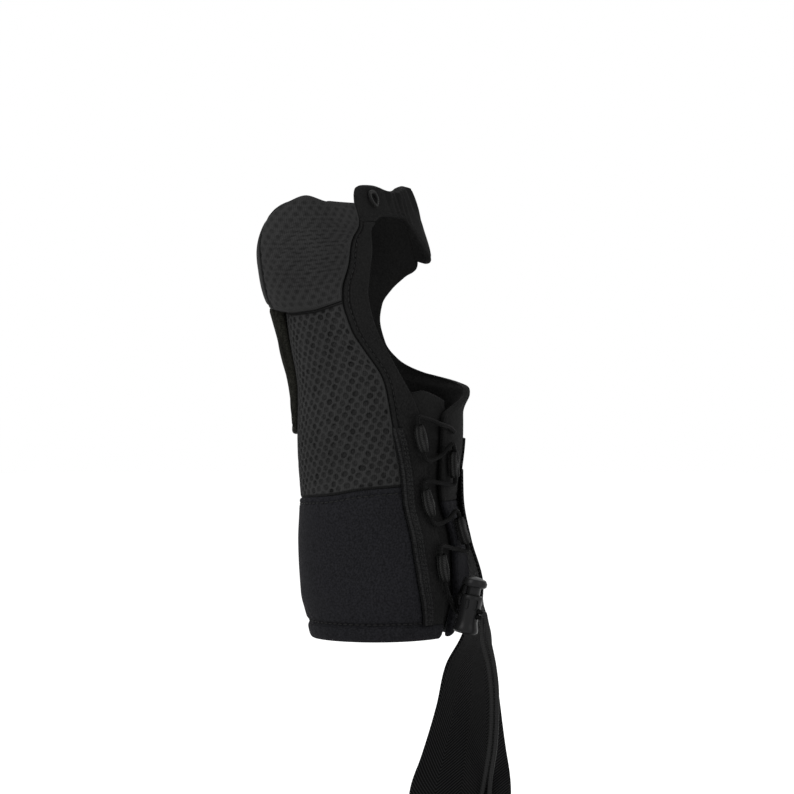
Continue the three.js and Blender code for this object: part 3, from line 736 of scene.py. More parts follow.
def grid_faces(index: Array, flip: bool = False) -> Array:
    """Faces between the rows and columns of a grid.

    Args:
        index: Numbers of the grid's points.
        flip: Whether the faces look the other way.

    Returns:
        Four corners for each face.
    """
    low, high = index[:-1], index[1:]
    corners = [low[:, :-1], low[:, 1:], high[:, 1:], high[:, :-1]]
    if flip:
        corners[1], corners[3] = corners[3], corners[1]
    return np.stack(corners, -1).reshape(-1, 4)


def ring_index(rows: int, count: int, closed: bool = False) -> Array:
    """Numbers of points in rings, each with its first again at its end, and the first ring if closed."""
    index = np.arange(rows * count).reshape(rows, count)
    return np.pad(index, ((0, int(closed)), (0, 1)), mode="wrap")


def wall_faces(columns: int, rows: int) -> Array:
    """Faces of a closed sheet whose outer points come row by row before its inner ones.

    Args:
        columns: Points across.
        rows: Points up.

    Returns:
        Four corners for each face, outward.
    """
    index = np.arange(columns * rows).reshape(rows, columns)
    back = columns * rows
    rim = np.concatenate([index[0, :-1], index[:-1, -1], index[-1, :0:-1], index[:0:-1, 0]])
    after = np.roll(rim, -1)
    border = np.stack([rim, rim + back, after + back, after], -1)
    return np.concatenate([grid_faces(index), grid_faces(index + back, flip=True), border])


def on_cloth(across: Array, along: Array) -> Array:
    """Millimetres across and along the cloth, one row for each point."""
    return np.stack(np.broadcast_arrays(across, along), -1).reshape(-1, 2)


def make_wall(name: str, outer: Array, inner: Array, cloth: Array, marks: Array) -> Piece:
    """Closed sheet of cloth between two grids of points.

    Args:
        name: Name of the piece.
        outer: Points of its outer face, in metres.
        inner: Points of its inner face.
        cloth: Millimetres across and along its outer face.
        marks: How far the outer face is darkened, mostly painted shade.

    Returns:
        The sheet's object.
    """
    rows, columns = marks.shape
    hollow = np.concatenate([marks.ravel(), np.zeros(marks.size)])
    faces = [wall_faces(columns, rows)]
    return make_object(name, np.stack([outer, inner]), faces, np.concatenate([cloth, cloth]), hollow)


def spaced(length: float, step: float, roll: float, tuck: Pair = (0.0, 0.0)) -> Array:
    """Shares along an edge: close together in its rolled ends and even between them.

    Args:
        length: Length of the edge in millimetres.
        step: Usual spacing.
        roll: Length of each rolled end.
        tuck: Millimetres that the cloth runs on past its start and its end.

    Returns:
        Shares from about 0 to about 1.
    """
    whole, length = length, length + sum(tuck)
    ends = roll * np.array([0.0, 0.1, 0.3, 0.6])
    count = max(2, round((length - 2 * roll) / step) + 1)
    middle = np.linspace(roll, length - roll, count)
    return (np.concatenate([ends, middle, length - ends[::-1]]) - tuck[0]) / whole


def lengths(points: Array, axis: int) -> Array:
    """Millimetres run along one way of a grid of points, from its start."""
    run = np.linalg.norm(np.diff(points, axis=axis), axis=-1) / MM
    return np.concatenate([np.zeros_like(run.take([0], axis)), np.cumsum(run, axis)], axis)


def spans(points: Array) -> Pair:
    """Greatest lengths across and up a grid of points, in millimetres."""
    return float(lengths(points, 1)[:, -1].max()), float(lengths(points, 0)[-1].max())


def along_line(at: Array, run: Array, line: Array) -> Array:
    """Points, or ways, of a line at distances along it."""
    return np.stack([np.interp(at, run, line[:, k]) for k in range(3)], -1)


def stood(points: Array, stand: Matrix) -> Array:
    """Points moved from a piece's own place to its stand."""
    spot = np.array(stand)
    return points @ spot[:3, :3].T + spot[:3, 3]


def apply_place() -> None:
    """Works the selected object's place, turn and size into its mesh."""
    bpy.ops.object.transform_apply(location=True, rotation=True, scale=True)


@contextmanager
def editing() -> Iterator[None]:
    """Opens the active object for editing and closes it again."""
    bpy.ops.object.mode_set(mode="EDIT")
    yield
    bpy.ops.object.mode_set(mode="OBJECT")


class Lay(NamedTuple):
    """Grid of a panel: shares, millimetres along the cloth, and place on the form."""

    s: Array
    t: Array
    across: Array
    up: Array
    angle: Array
    z: Array

    @property
    def over(self) -> Array:
        """Millimetres to the upper edge."""
        return self.up[-1:] - self.up

    @property
    def beside(self) -> Array:
        """Millimetres to the right edge."""
        return self.across[:, -1:] - self.across

    @property
    def side(self) -> Array:
        """Millimetres to the nearer of the left and right edges."""
        return np.minimum(self.across, self.beside)

    @property
    def edge(self) -> Array:
        """Millimetres to the nearest edge."""
        return np.minimum(self.side, np.minimum(self.up, self.over))

    def waves(self, seed: int, length: float) -> Array:
        """Gentle uneven waves over the cloth."""
        return waves(self.across, self.up, seed, length)


def sewn_patch(
    s: Array, t: Array, seams: tuple[Table, Table], rise: Pair, gap: float, shifts: Pair,
) -> Place:
    """Patch from the back seam to the palm seam, between two seams that run round the form.

    Args:
        s: Shares across.
        t: Shares up.
        seams: Lower and upper seam.
        rise: Heights of its lower and upper corner at the palm seam.
        gap: Degrees that it keeps from the palm seam.
        shifts: Millimetres that it lies over the lower and the upper seam.

    Returns:
        Angles and heights.
    """
    left = BACK_SEAM + SEAM_ANGLE_GAP
    ends = [float(MESH_SEAM.read("angle", z)) - gap for z in rise]

    def along(row: int, share: Array) -> Place:
        """Angle and height along the lower or the upper seam."""
        angle = mix(left, ends[row], share)
        return angle, seams[row].read("z", angle) + shifts[row]

    foot, head = (float(seam.read("z", left)) + shift for seam, shift in zip(seams, shifts))
    z = mix(*rise, t)
    starts = (np.full_like(t, left), mix(foot, head, t))
    stops = (MESH_SEAM.read("angle", z) - gap, z)
    zero, one = np.zeros_like(s), np.ones_like(s)
    place = []
    for k in (0, 1):
        ruled = mix(along(0, s)[k], along(1, s)[k], t) + mix(starts[k], stops[k], s)
        lower, upper = (mix(along(row, zero)[k], along(row, one)[k], s) for row in (0, 1))
        place.append(ruled - mix(lower, upper, t))
    return place[0], place[1]


class Hold(Enum):
    """How a sheet of cloth is held."""

    STRETCHED = "stretched"
    GATHERED = "gathered"
    HUNG = "hung"


class From(Enum):
    """Edge of a panel that a line is measured from."""

    LEFT = "across"
    RIGHT = "beside"
    FOOT = "up"
    TOP = "over"
    SIDES = "side"
    ALL = "edge"


@dataclass(frozen=True)
class SewnLine:
    """Line along an edge: how far in it runs, its half width, and its height or darkness."""

    edge: From
    inset: float
    width: float
    height: float

    def on(self, lay: Lay) -> Array:
        """Height or darkness of the line over a panel."""
        return self.height * ridge(getattr(lay, self.edge.value) - self.inset, self.width)


@dataclass(frozen=True)
class Uneven:
    """Soft unevenness of a face: height, seed and usual length of its waves."""

    height: float
    seed: int
    length: float

    def on(self, lay: Lay) -> Array:
        """Height of the waves over a panel."""
        return self.height * lay.waves(self.seed, self.length)


@dataclass(frozen=True)
class Fill:
    """Rise of a face that fills out from its sewn edges: its height and how far in it is reached."""

    height: float
    reach: float

    def on(self, lay: Lay) -> Array:
        """Rise over a panel."""
        return self.height * (1 - np.exp(-lay.edge / self.reach))


Forms = tuple[SewnLine | Uneven | Fill, ...]


@dataclass
class ClothPanel:
    """Cloth wall on the form, with rolled edges and its own relief."""

    node: str
    finish: ClothFinish
    slot: Slot
    thick: float = CLOTH
    step: float = 1.3
    roll: float = 1.3
    hold: Optional[Hold] = Hold.STRETCHED
    # strength of the painted shade along the sewn edges
    edge_mark: float = 1.0
    free: tuple[bool, bool] = (False, False)
    off: float = 0.0
    forms: Forms = ()
    # painted shade lines, summed into the darkening of the colour
    shades: Forms = ()
    sides_tuck: Pair = (0.0, 0.0)
    ends_tuck: Pair = (0.0, 0.0)
    piece: Optional[Piece] = field(default=None, init=False)

    def place(self, s: Array, t: Array) -> Place:
        """Angle and height on the form at shares across and up."""
        raise NotImplementedError

    def base(self, lay: Lay) -> Array:
        """Millimetres from the form to the panel's inner face."""
        return np.full_like(lay.s, self.off)

    def wall(self, lay: Lay) -> Array:
        """Thickness before edges and relief, in millimetres."""
        return np.full_like(lay.s, self.thick)

    def relief(self, lay: Lay) -> Array:
        """Millimetres that the outer face stands over or under a plain one."""
        return sum((form.on(lay) for form in self.forms), np.zeros_like(lay.s))

    def hollow(self, lay: Lay) -> Array:
        """How far the cloth is darkened, from 0 to 1: the sum of its painted shade lines."""
        return sum((shade.on(lay) for shade in self.shades), np.zeros_like(lay.s))

    def shares_up(self, length: float) -> Array:
        """Shares of the grid's rows."""
        return spaced(length, self.step, self.roll, self.ends_tuck)

    def lay(self) -> Lay:
        """Lays the panel's grid on the form.

        Returns:
            The grid, with rows upward and columns round.
        """
        rough = np.linspace(0, 1, 25)
        wide, tall = spans(FORM.point(*self.place(*np.meshgrid(rough, rough)), self.thick))
        s, t = np.meshgrid(spaced(wide, self.step, self.roll, self.sides_tuck), self.shares_up(tall))
        angle, z = self.place(s, t)
        points = FORM.point(angle, z, self.thick)
        across, up = lengths(points, 1), lengths(points, 0)
        return Lay(s, t, across, up, angle, z)

    def build(self) -> None:
        """Makes the panel's mesh and dresses it."""
        lay = self.lay()
        base, wall = self.base(lay), self.wall(lay)
        drop = 1 - crest(lay.edge, self.roll)
        inner_out = base + np.minimum(INNER_ROLL[0] * wall, INNER_ROLL[1] * self.roll) * drop
        outer_out = base + wall - np.minimum(OUTER_ROLL * wall, self.roll) * drop
        outer_out = outer_out + self.relief(lay) * smoothstep(lay.edge, 0, self.roll)
        outer, inner = (FORM.point(lay.angle, lay.z, out) for out in (outer_out, inner_out))
        sewn = np.minimum(lay.up, lay.over)
        for free, side in zip(self.free, (lay.across, lay.beside)):
            sewn = sewn if free else np.minimum(sewn, side)
        # painted shade along the sewn edges where panels meet, kept where it is darker than the panel's own
        # painted marks
        marks = np.maximum(self.hollow(lay), self.edge_mark * (1 - smoothstep(sewn, 0, SEAM_SHADE)))
        self.piece = make_wall(f"{self.node}_cloth", outer, inner, on_cloth(lay.across, lay.up), marks)
        dress(self.piece, self.finish, self.slot, self.node)
        if self.hold is not None:
            self.declare(FORM.point(lay.angle, lay.z, base + wall / 2))

    def declare(self, middle: Array) -> None:
        """Says what size the panel was cut to.

        Args:
            middle: Points of its middle face.
        """
        wide, tall = (span * MM for span in spans(middle))
        one, two = middle[1:, 1:] - middle[:-1, :-1], middle[1:, :-1] - middle[:-1, 1:]
        area = float(np.linalg.norm(np.cross(one, two), axis=-1).sum() / 2)
        area = min(area, wide * tall)
        log.info("%s cut %.0f x %.0f mm", self.node, wide / MM, tall / MM)


def hex_hollows(
    across: Array, up: Array, pitch: float, row: float, size: float, pull: float = 0.0, wall: float = 0.75,
) -> Array:
    """Round hollows of the spacer mesh in staggered rows.

    Args:
        across: Millimetres across.
        up: Millimetres up.
        pitch: Spacing in a row.
        row: Spacing of rows.
        size: Radius of a hollow.
        pull: How far the hollows are pulled wide, from 0.
        wall: Share of the radius that the slanting wall takes.

    Returns:
        Hollowness from 0 on the ridges to 1.
    """
    nearest = np.full_like(across, np.inf)
    for shift in (0.0, 0.5):
        x = across / pitch + shift
        y = up / (2 * row) + shift
        dx = (x - np.round(x)) * pitch / (1 + PULL_WIDER * pull)
        dy = (y - np.round(y)) * 2 * row * (1 + PULL_FLATTER * pull)
        nearest = np.minimum(nearest, np.hypot(dx, dy))
    return smoothstep(size - nearest, 0, wall * size)


def mesh_marks(hollow: Array, dark: float = 0.8, steep: float = 1.5, pale: float = 0.5) -> Array:
    """Painted shade in the hollows of the mesh: darkest at their walls and lighter on their floors."""
    return dark * np.minimum(steep * hollow, 1) * (1 - pale * smoothstep(hollow, 0.75, 1))


@dataclass
class MeshPanel(ClothPanel):
    """Spacer mesh from the back seam to the palm seam, between the cuff and the dome."""

    pitch: float = 4.6
    row: float = 3.0
    hole: float = 1.66
    depth: float = 0.8
    tilt: float = 9.0
    rise: Pair = (CUFF_SEAM_PALM + SEAM_GAP, 57.8 - SEAM_GAP)
    forms: Forms = (Fill(0.7, 7.0), Uneven(0.15, 3, 38))
    # painted shade under the dome's rolled edge and along the seam with the cuff
    shades: Forms = (SewnLine(From.TOP, 1.2, 0.5, 1.0), SewnLine(From.FOOT, 0.9, 0.45, 1.0))

    def place(self, s: Array, t: Array) -> Place:
        """Place on the form."""
        return sewn_patch(s, t, (CUFF_SEAM, PAD_SEAM), self.rise, SEAM_ANGLE_GAP, (SEAM_GAP, -SEAM_GAP))

    def _dents(self, lay: Lay) -> Array:
        """Round hollows in leaning, slightly uneven rows, which fade at the sewn edges.

        Args:
            lay: The panel's grid.

        Returns:
            Hollowness from 0 to 1.
        """
        turn = math.radians(self.tilt)
        across = lay.across * math.cos(turn) + lay.up * math.sin(turn) + 0.35 * lay.waves(51, 8)
        up = lay.up * math.cos(turn) - lay.across * math.sin(turn) + 0.3 * lay.waves(53, 9)
        marks = hex_hollows(across, up, self.pitch, self.row, self.hole, wall=0.5)
        return marks * smoothstep(lay.edge, 1.0, 2.6)

    def hollow(self, lay: Lay) -> Array:
        """Painted shade in the hollows and along the seams with the dome and the cuff."""
        uneven = 0.82 + 0.5 * lay.waves(41, 7)
        return np.clip(mesh_marks(self._dents(lay)) * uneven + super().hollow(lay), 0, 1)

    def relief(self, lay: Lay) -> Array:
        """Hollows, and a face that fills out from its seams."""
        return super().relief(lay) - self.depth * self._dents(lay)


@dataclass
class PalmBand(ClothPanel):
    """Knit band round the palm opening and down beside the lacing."""

    top: float = 96.0
    forms: Forms = (SewnLine(From.LEFT, 1.5, 0.9, 0.55), SewnLine(From.LEFT, 3.3, 0.5, -0.5))
    # painted shade in the groove of the turned seam
    shades: Forms = (SewnLine(From.LEFT, 3.3, 0.5, 0.8),)

    def place(self, s: Array, t: Array) -> Place:
        """Place on the form."""
        z = mix(CUFF_LOW, self.top, t)
        return mix(MESH_SEAM.read("angle", z), PALM_EDGE.read("angle", z), s), z

    def relief(self, lay: Lay) -> Array:
        """Turned seam beside the mesh, ribs and small creases."""
        ribs = 0.12 * ripple(lay.across, 1.7) * smoothstep(-lay.z, -24, 0)
        crease = 0.4 * lay.waves(11, 7) * ridge(lay.z - 20, 9) + 0.12 * lay.waves(5, 22)
        return super().relief(lay) + ribs + crease * smoothstep(lay.edge, 2, 7)


@dataclass
class ForearmCuff(ClothPanel):
    """Smooth cuff below the mesh, from the lacing margin to the tape."""

    seam_line: float = 3.2
    hem_line: float = 2.4
    swell: float = 3.2
    swell_spot: Pair = (-54.0, -86.0)
    swell_size: Pair = (14.0, 16.0)
    forms: Forms = (
        SewnLine(From.TOP, seam_line, 0.6, -0.45), SewnLine(From.FOOT, hem_line, 1.1, -0.9),
        Fill(0.5, 6.0), Uneven(0.3, 7, 46),
    )

    def place(self, s: Array, t: Array) -> Place:
        """Place on the form.

        Args:
            s: Shares across.
            t: Shares up.

        Returns:
            Angles and heights.
        """
        start = float(THUMB_EDGE.read("angle", CUFF_SEAM_BACK))
        end = float(MESH_SEAM.read("angle", CUFF_SEAM_PALM)) - SEAM_ANGLE_GAP
        high = CUFF_SEAM.read("z", mix(start, end, s))
        z = mix(CUFF_LOW, high, t)
        left = THUMB_EDGE.read("angle", z)
        right = MESH_SEAM.read("angle", z) - SEAM_ANGLE_GAP
        return mix(left, right, s), z

    def relief(self, lay: Lay) -> Array:
        """Sewn lines with puckers beside them, soft waves, and a fuller place beside the cord lock.

        Args:
            lay: The panel's grid.

        Returns:
            Millimetres over a plain face.
        """
        near = ridge(lay.over, 7.0) + ridge(lay.up, 8.0)
        pucker = 0.22 * ripple(lay.across, 6.5, lay.waves(2, 30)) * near
        parts = zip((lay.angle, lay.z), self.swell_spot, self.swell_size)
        fuller = self.swell * math.prod(ridge(at - spot, size) for at, spot, size in parts)
        return super().relief(lay) + pucker + fuller

    def hollow(self, lay: Lay) -> Array:
        """Painted shade in the scalloped groove over the hem, and in dashes under the seam with the mesh."""
        dash = 0.5 + 0.5 * ripple(lay.across, 3.0)
        hem = ridge(lay.up - self.hem_line - 0.7 * dash, 0.8) * (0.45 + 0.55 * dash)
        return np.minimum(1.2 * hem, 1) + 0.7 * dash * ridge(lay.over - self.seam_line, 0.5)


@dataclass
class BackPanel(ClothPanel):
    """Panel over the back, round the thumb opening and down to the lacing."""

    dip: float = 23.0
    flare: float = 4.2
    low: float = CUFF_SEAM_BACK + SEAM_GAP
    forms: Forms = (
        SewnLine(From.LEFT, 3.4, 0.55, -0.4), SewnLine(From.RIGHT, 3.2, 0.55, -0.4),
        SewnLine(From.FOOT, 3.2, 0.55, -0.4), SewnLine(From.TOP, 3.6, 0.55, -0.4),
        Fill(0.6, 7.0), Uneven(0.32, 13, 44),
    )

    def _height(self, t: Array) -> Array:
        """Height of a row before the corner beside the dome dips."""
        return mix(self.low, BACK_TOP, t)

    def place(self, s: Array, t: Array) -> Place:
        """Place on the form."""
        z = self._height(t)
        dip = self.dip * smoothstep(s, 0.72, 1) * smoothstep(z, 60, BACK_TOP)
        return mix(THUMB_EDGE.read("angle", z), BACK_SEAM, s), z - dip

    def shares_up(self, length: float) -> Array:
        """Rows set by the run of the thumb edge, so that its curves stay round.

        Args:
            length: Height of the panel in millimetres.

        Returns:
            Shares of the rows.
        """
        t = np.linspace(0, 1, 1200)
        edge = FORM.point(*self.place(np.zeros_like(t), t), self.thick)
        run = lengths(edge, 0) * 0.55 + t * length
        even = spaced(float(run[-1]), self.step, self.roll)
        shares = np.interp(even * run[-1], run, t)
        shares[0] -= self.ends_tuck[0] / (BACK_TOP - self.low)
        return shares

    def base(self, lay: Lay) -> Array:
        """Inner face, which flares off the form at the thumb opening."""
        z = self._height(lay.t)
        near = smoothstep(z, 3, 13) * (1 - smoothstep(z, 17, 30))
        return self.flare * near * (1 - smoothstep(lay.s, 0, 0.3))


@dataclass
class LacingTongue(ClothPanel):
    """Knit tongue under the lacing."""

    off: float = -3.1
    lap: float = 9.0
    bottom: float = -104.5
    side_tops: Pair = (12.0, 2.0)
    forms: Forms = (SewnLine(From.TOP, 3.0, 0.5, -0.3),)
    top: Table = Table("angle z", (
        (239, 12.6), (246, 13.4), (258, 14.6), (272, 12), (282, 9.5), (292, 8),
    ))

    def _sides(self, left_z: Array, right_z: Array) -> tuple[Array, Array]:
        """Angles of the tongue's two hidden edges."""
        left = PALM_EDGE.read("angle", left_z) - self.lap
        return left, THUMB_EDGE.read("angle", right_z) + 360 + self.lap

    def place(self, s: Array, t: Array) -> Place:
        """Place on the form.

        Args:
            s: Shares across.
            t: Shares up.

        Returns:
            Angles and heights.
        """
        left_top, right_top = self.side_tops
        rough = mix(self.bottom, left_top, t)
        ends = self._sides(np.array(left_top), np.array(right_top))
        high = self.top.read("z", mix(*ends, s))
        sides = self._sides(rough, np.minimum(rough, right_top))
        return mix(*sides, s), mix(self.bottom, high, t)

    def relief(self, lay: Lay) -> Array:
        """Shallow creases across the tongue, and its bound top edge."""
        crease = -0.5 * (0.5 + 0.5 * waves(lay.across * 0.35, lay.up, 17, 11)) * smoothstep(lay.over, 3, 9)
        return crease + super().relief(lay)


@dataclass
class WebStrap(ClothPanel):
    """Strap across the top of the palm opening, gathered and folded at its thumb side."""

    edges: Table = Table("angle low high lift bow", (
        (248, 97.5, 106.4, 0.2, 0), (250.2, 97.6, 112, 0.2, 0), (253.5, 97.8, 115.4, 0.3, 0),
        (260, 98.4, 117, 0.4, 0), (268, 101.5, 117.4, 0.4, 0), (275, 102, 115.8, 1.3, 0),
        (280, 101.9, 115.6, 0.3, 0), (285, 101, 116.2, 1.5, 0.2), (291, 96.4, 117.8, 0.8, 0.4),
        (300, 88.2, 119.2, 1.5, 1.2), (310, 84.4, 120, 1.5, 1.8), (320, 81, 119.6, 1.3, 2),
        (328, 80.2, 117, 1, 1.5), (338, 80.8, 114, 0.3, 0.5), (349.3, 82, 113, 0, 0),
    ))
    gathers: tuple[float, ...] = (270.5, 276.0, 280.5, 285.5, 291.0)
    fan: float = 3.0
    forms: Forms = (SewnLine(From.FOOT, 2.6, 0.5, -0.3),)

    def place(self, s: Array, t: Array) -> Place:
        """Place on the form."""
        angle = mix(self.edges.rows[0][0], self.edges.rows[-1][0], s)
        return angle, mix(self.edges.read("low", angle), self.edges.read("high", angle), t)

    def base(self, lay: Lay) -> Array:
        """Inner face, which bows off the form between its edges."""
        return self.edges.read("bow", lay.angle) * np.sin(math.pi * np.sqrt(lay.t)) ** 0.8

    def _folds(self, lay: Lay, beside: float, width: float) -> Array:
        """Lines that fan down from the top, so many degrees beside the gathers."""
        fan = self.fan * (0.5 - lay.t)
        return sum(ridge(lay.angle - middle - beside - fan, width) for middle in self.gathers)

    def relief(self, lay: Lay) -> Array:
        """Gathers that fan down from the top, the folded lump and a stitched lower edge.

        Args:
            lay: The panel's grid.

        Returns:
            Millimetres over a plain face.
        """
        lift = self.edges.read("lift", lay.angle) * smoothstep(lay.t, 0.35, 0.9)
        folds = 0.9 * self._folds(lay, 0.0, 1.5) * (0.35 + 0.65 * lay.t)
        lump = smoothstep(lay.t, 0.5, 0.75) * smoothstep(lay.angle, 294, 300)
        lump = lump * (1 - smoothstep(lay.angle, 322, 330))
        crease = 0.7 * lump * np.sin((lay.angle - 296) * 0.42 + 3 * lay.t)
        return lift + folds + crease + super().relief(lay)

    def hollow(self, lay: Lay) -> Array:
        """Painted shade in the folds beside the gathers and over the shaded thumb-side end."""
        return np.clip(0.35 * smoothstep(lay.angle, 290, 304) + 0.4 * self._folds(lay, 2.6, 0.9), 0, 1)


@dataclass
class StayPocket(ClothPanel):
    """Bound pocket over the stay, below the dome at the back of the little-finger edge."""

    off: float = CLOTH + LAYER_GAP
    start: float = 97.0
    end: float = 131.5
    low: float = -7.0
    corner: float = 8.0
    foot: float = 3.7
    head: float = 8.2
    bind: float = 3.6
    forms: Forms = (
        SewnLine(From.SIDES, bind, 0.45, -0.4), SewnLine(From.FOOT, 4.0, 0.45, -0.35), Uneven(0.25, 19, 24),
    )
    # painted shade at the binding's step, beside its rolled edges and over its foot
    shades: Forms = (
        SewnLine(From.SIDES, bind, 0.7, 0.9), SewnLine(From.SIDES, 0.9, 0.5, 0.7),
        SewnLine(From.FOOT, 4.2, 0.5, 0.6),
    )

    def place(self, s: Array, t: Array) -> Place:
        """Place on the form.

        Args:
            s: Shares across.
            t: Shares up.

        Returns:
            Angles and heights.
        """
        angle = mix(self.start, self.end, s)
        drop = np.sqrt(np.clip(1 - np.abs(2 * s - 1) ** 4, 0, 1))
        bottom = self.low + self.corner * (1 - drop)
        return angle, mix(bottom, PAD_SEAM.read("z", angle) - SEAM_GAP, t)

    def wall(self, lay: Lay) -> Array:
        """Thickness, which grows towards the dome and drops at the sides."""
        return mix(self.foot, self.head, lay.t) - 1.3 * np.abs(2 * lay.s - 1) ** 4

    def relief(self, lay: Lay) -> Array:
        """Bound edges over a sunken middle, with stitched lines."""
        sunk = -0.75 * smoothstep(lay.side, 4.2, 6.4)
        return super().relief(lay) + sunk + 0.14 * ripple(lay.across, 1.9)

    def hollow(self, lay: Lay) -> Array:
        """Painted shade along lines where the binding meets the sunken middle and beside its edges, and
        streaks in the binding.
        """
        streaks = 0.5 + 0.5 * waves(7 * lay.across, 0.5 * lay.up, 43, 7)
        return np.clip(super().hollow(lay) + 0.55 * streaks * ridge(lay.side - 2.2, 1.6), 0, 1)


@dataclass
class SeamTape(ClothPanel):
    """Tape sewn over the seam between the cuff and the palm band."""

    groove: float = 0.4
    slant: float = 12.0
    forms: Forms = (Uneven(0.12, 23, 15),)

    @staticmethod
    def at(z: Array, share: Array) -> Array:
        """Angle at a height and a share across the tape."""
        return MESH_SEAM.read("angle", z) + TAPE_TURN * (share - TAPE_BACK)

    @staticmethod
    def sink(z: Array) -> Array:
        """How far the tape sinks into the band at its top."""
        return TAPE_SINK * smoothstep(z, TAPE_TOP - TAPE_FADE, TAPE_TOP)

    def place(self, s: Array, t: Array) -> Place:
        """Place on the form."""
        z = mix(CUFF_LOW + SEAM_GAP, TAPE_TOP, t)
        return self.at(z, s), z

    def base(self, lay: Lay) -> Array:
        """Under face, on the panels, which sinks into the band at its top."""
        return CLOTH + TAPE_LIFT - self.sink(lay.z)

    def _holes(self, lay: Lay, width: float) -> tuple[Array, Array, Array]:
        """Shares across the tape, its rows of stitching, and the ripple of the stitches along them."""
        share = lay.across / lay.across[:, -1:]
        rows = sum(ridge(share - row, width) for row in TAPE_ROWS)
        return share, rows, ripple(lay.up, TAPE_PITCH, self.slant * share)

    def hollow(self, lay: Lay) -> Array:
        """Painted shade in the grooves on both sides of the ridge, and in columns of stitch holes."""
        share, rows, holes = self._holes(lay, 0.09)
        grooves = ridge(share - 0.06, 0.06) + ridge(share - self.groove, 0.06)
        return grooves + (0.5 + 0.5 * holes) * rows

    def relief(self, lay: Lay) -> Array:
        """A ridge between two grooves, and pressed rows of stitching beside it."""
        share, rows, holes = self._holes(lay, 0.07)
        raised = 0.55 * ridge(share - 0.23, 0.12) - 0.3 * ridge(share - self.groove, 0.06)
        return raised - 0.25 * rows + 0.12 * holes + super().relief(lay)


@dataclass
class StrapAnchor(ClothPanel):
    """Patch that holds the pull strap on the thumb side."""

    off: float = CLOTH + LAYER_GAP
    angles: Pair = (302.0, 374.0)
    heights: Pair = (-25.0, -9.0)
    forms: Forms = (SewnLine(From.ALL, 2.2, 0.4, -0.3),)

    def place(self, s: Array, t: Array) -> Place:
        """Place on the form."""
        return mix(*self.angles, s), mix(*self.heights, t)


@dataclass
class CuffHem:
    """Rolled hem of the cuff, open at the lacing."""

    low: float = -107.6
    proud: float = 3.9
    sides: int = 20
    steps: int = 300
    square: float = 0.7
    gathers: int = 46
    gather: float = 0.05
    uneven: float = 0.04
    end_size: float = 0.55
    end_taper: float = 2.0

    def build(self) -> None:
        """Makes the hem and dresses it."""
        start, end = THUMB_EDGE.rows[0][1], PALM_EDGE.rows[0][1]
        angles = np.linspace(start, end, self.steps)
        across, up = soft_round(TURN * np.arange(self.sides) / self.sides, self.square)
        tall = (CUFF_LOW + SEAM_GAP - self.low) / 2
        middle = (self.low + CUFF_LOW + SEAM_GAP) / 2
        pinch = 1 + self.gather * np.sin(np.radians(angles) * self.gathers)
        pinch = pinch + self.uneven * waves(angles, angles * 0, 29, 17)
        close = np.minimum(angles - start, end - angles)
        shrink = mix(self.end_size, 1, np.sqrt(np.clip(close / self.end_taper, 0, 1)))[:, None]
        deep = self.proud / 2
        out = deep + deep * across * shrink * pinch[:, None]
        z = middle + tall * up * shrink
        points = FORM.point(angles[:, None], z, out)
        first = np.arange(self.sides)
        caps = np.array([first, (self.steps - 1) * self.sides + first[::-1]])
        quads = grid_faces(ring_index(self.steps, self.sides), flip=True)
        piece = make_object("cuff_hem_roll", points, [quads, caps], on_cloth(lengths(points, 0), first * 0.9))
        dress(piece, CLOSE_KNIT, Slot.KNIT, "cuff_hem")


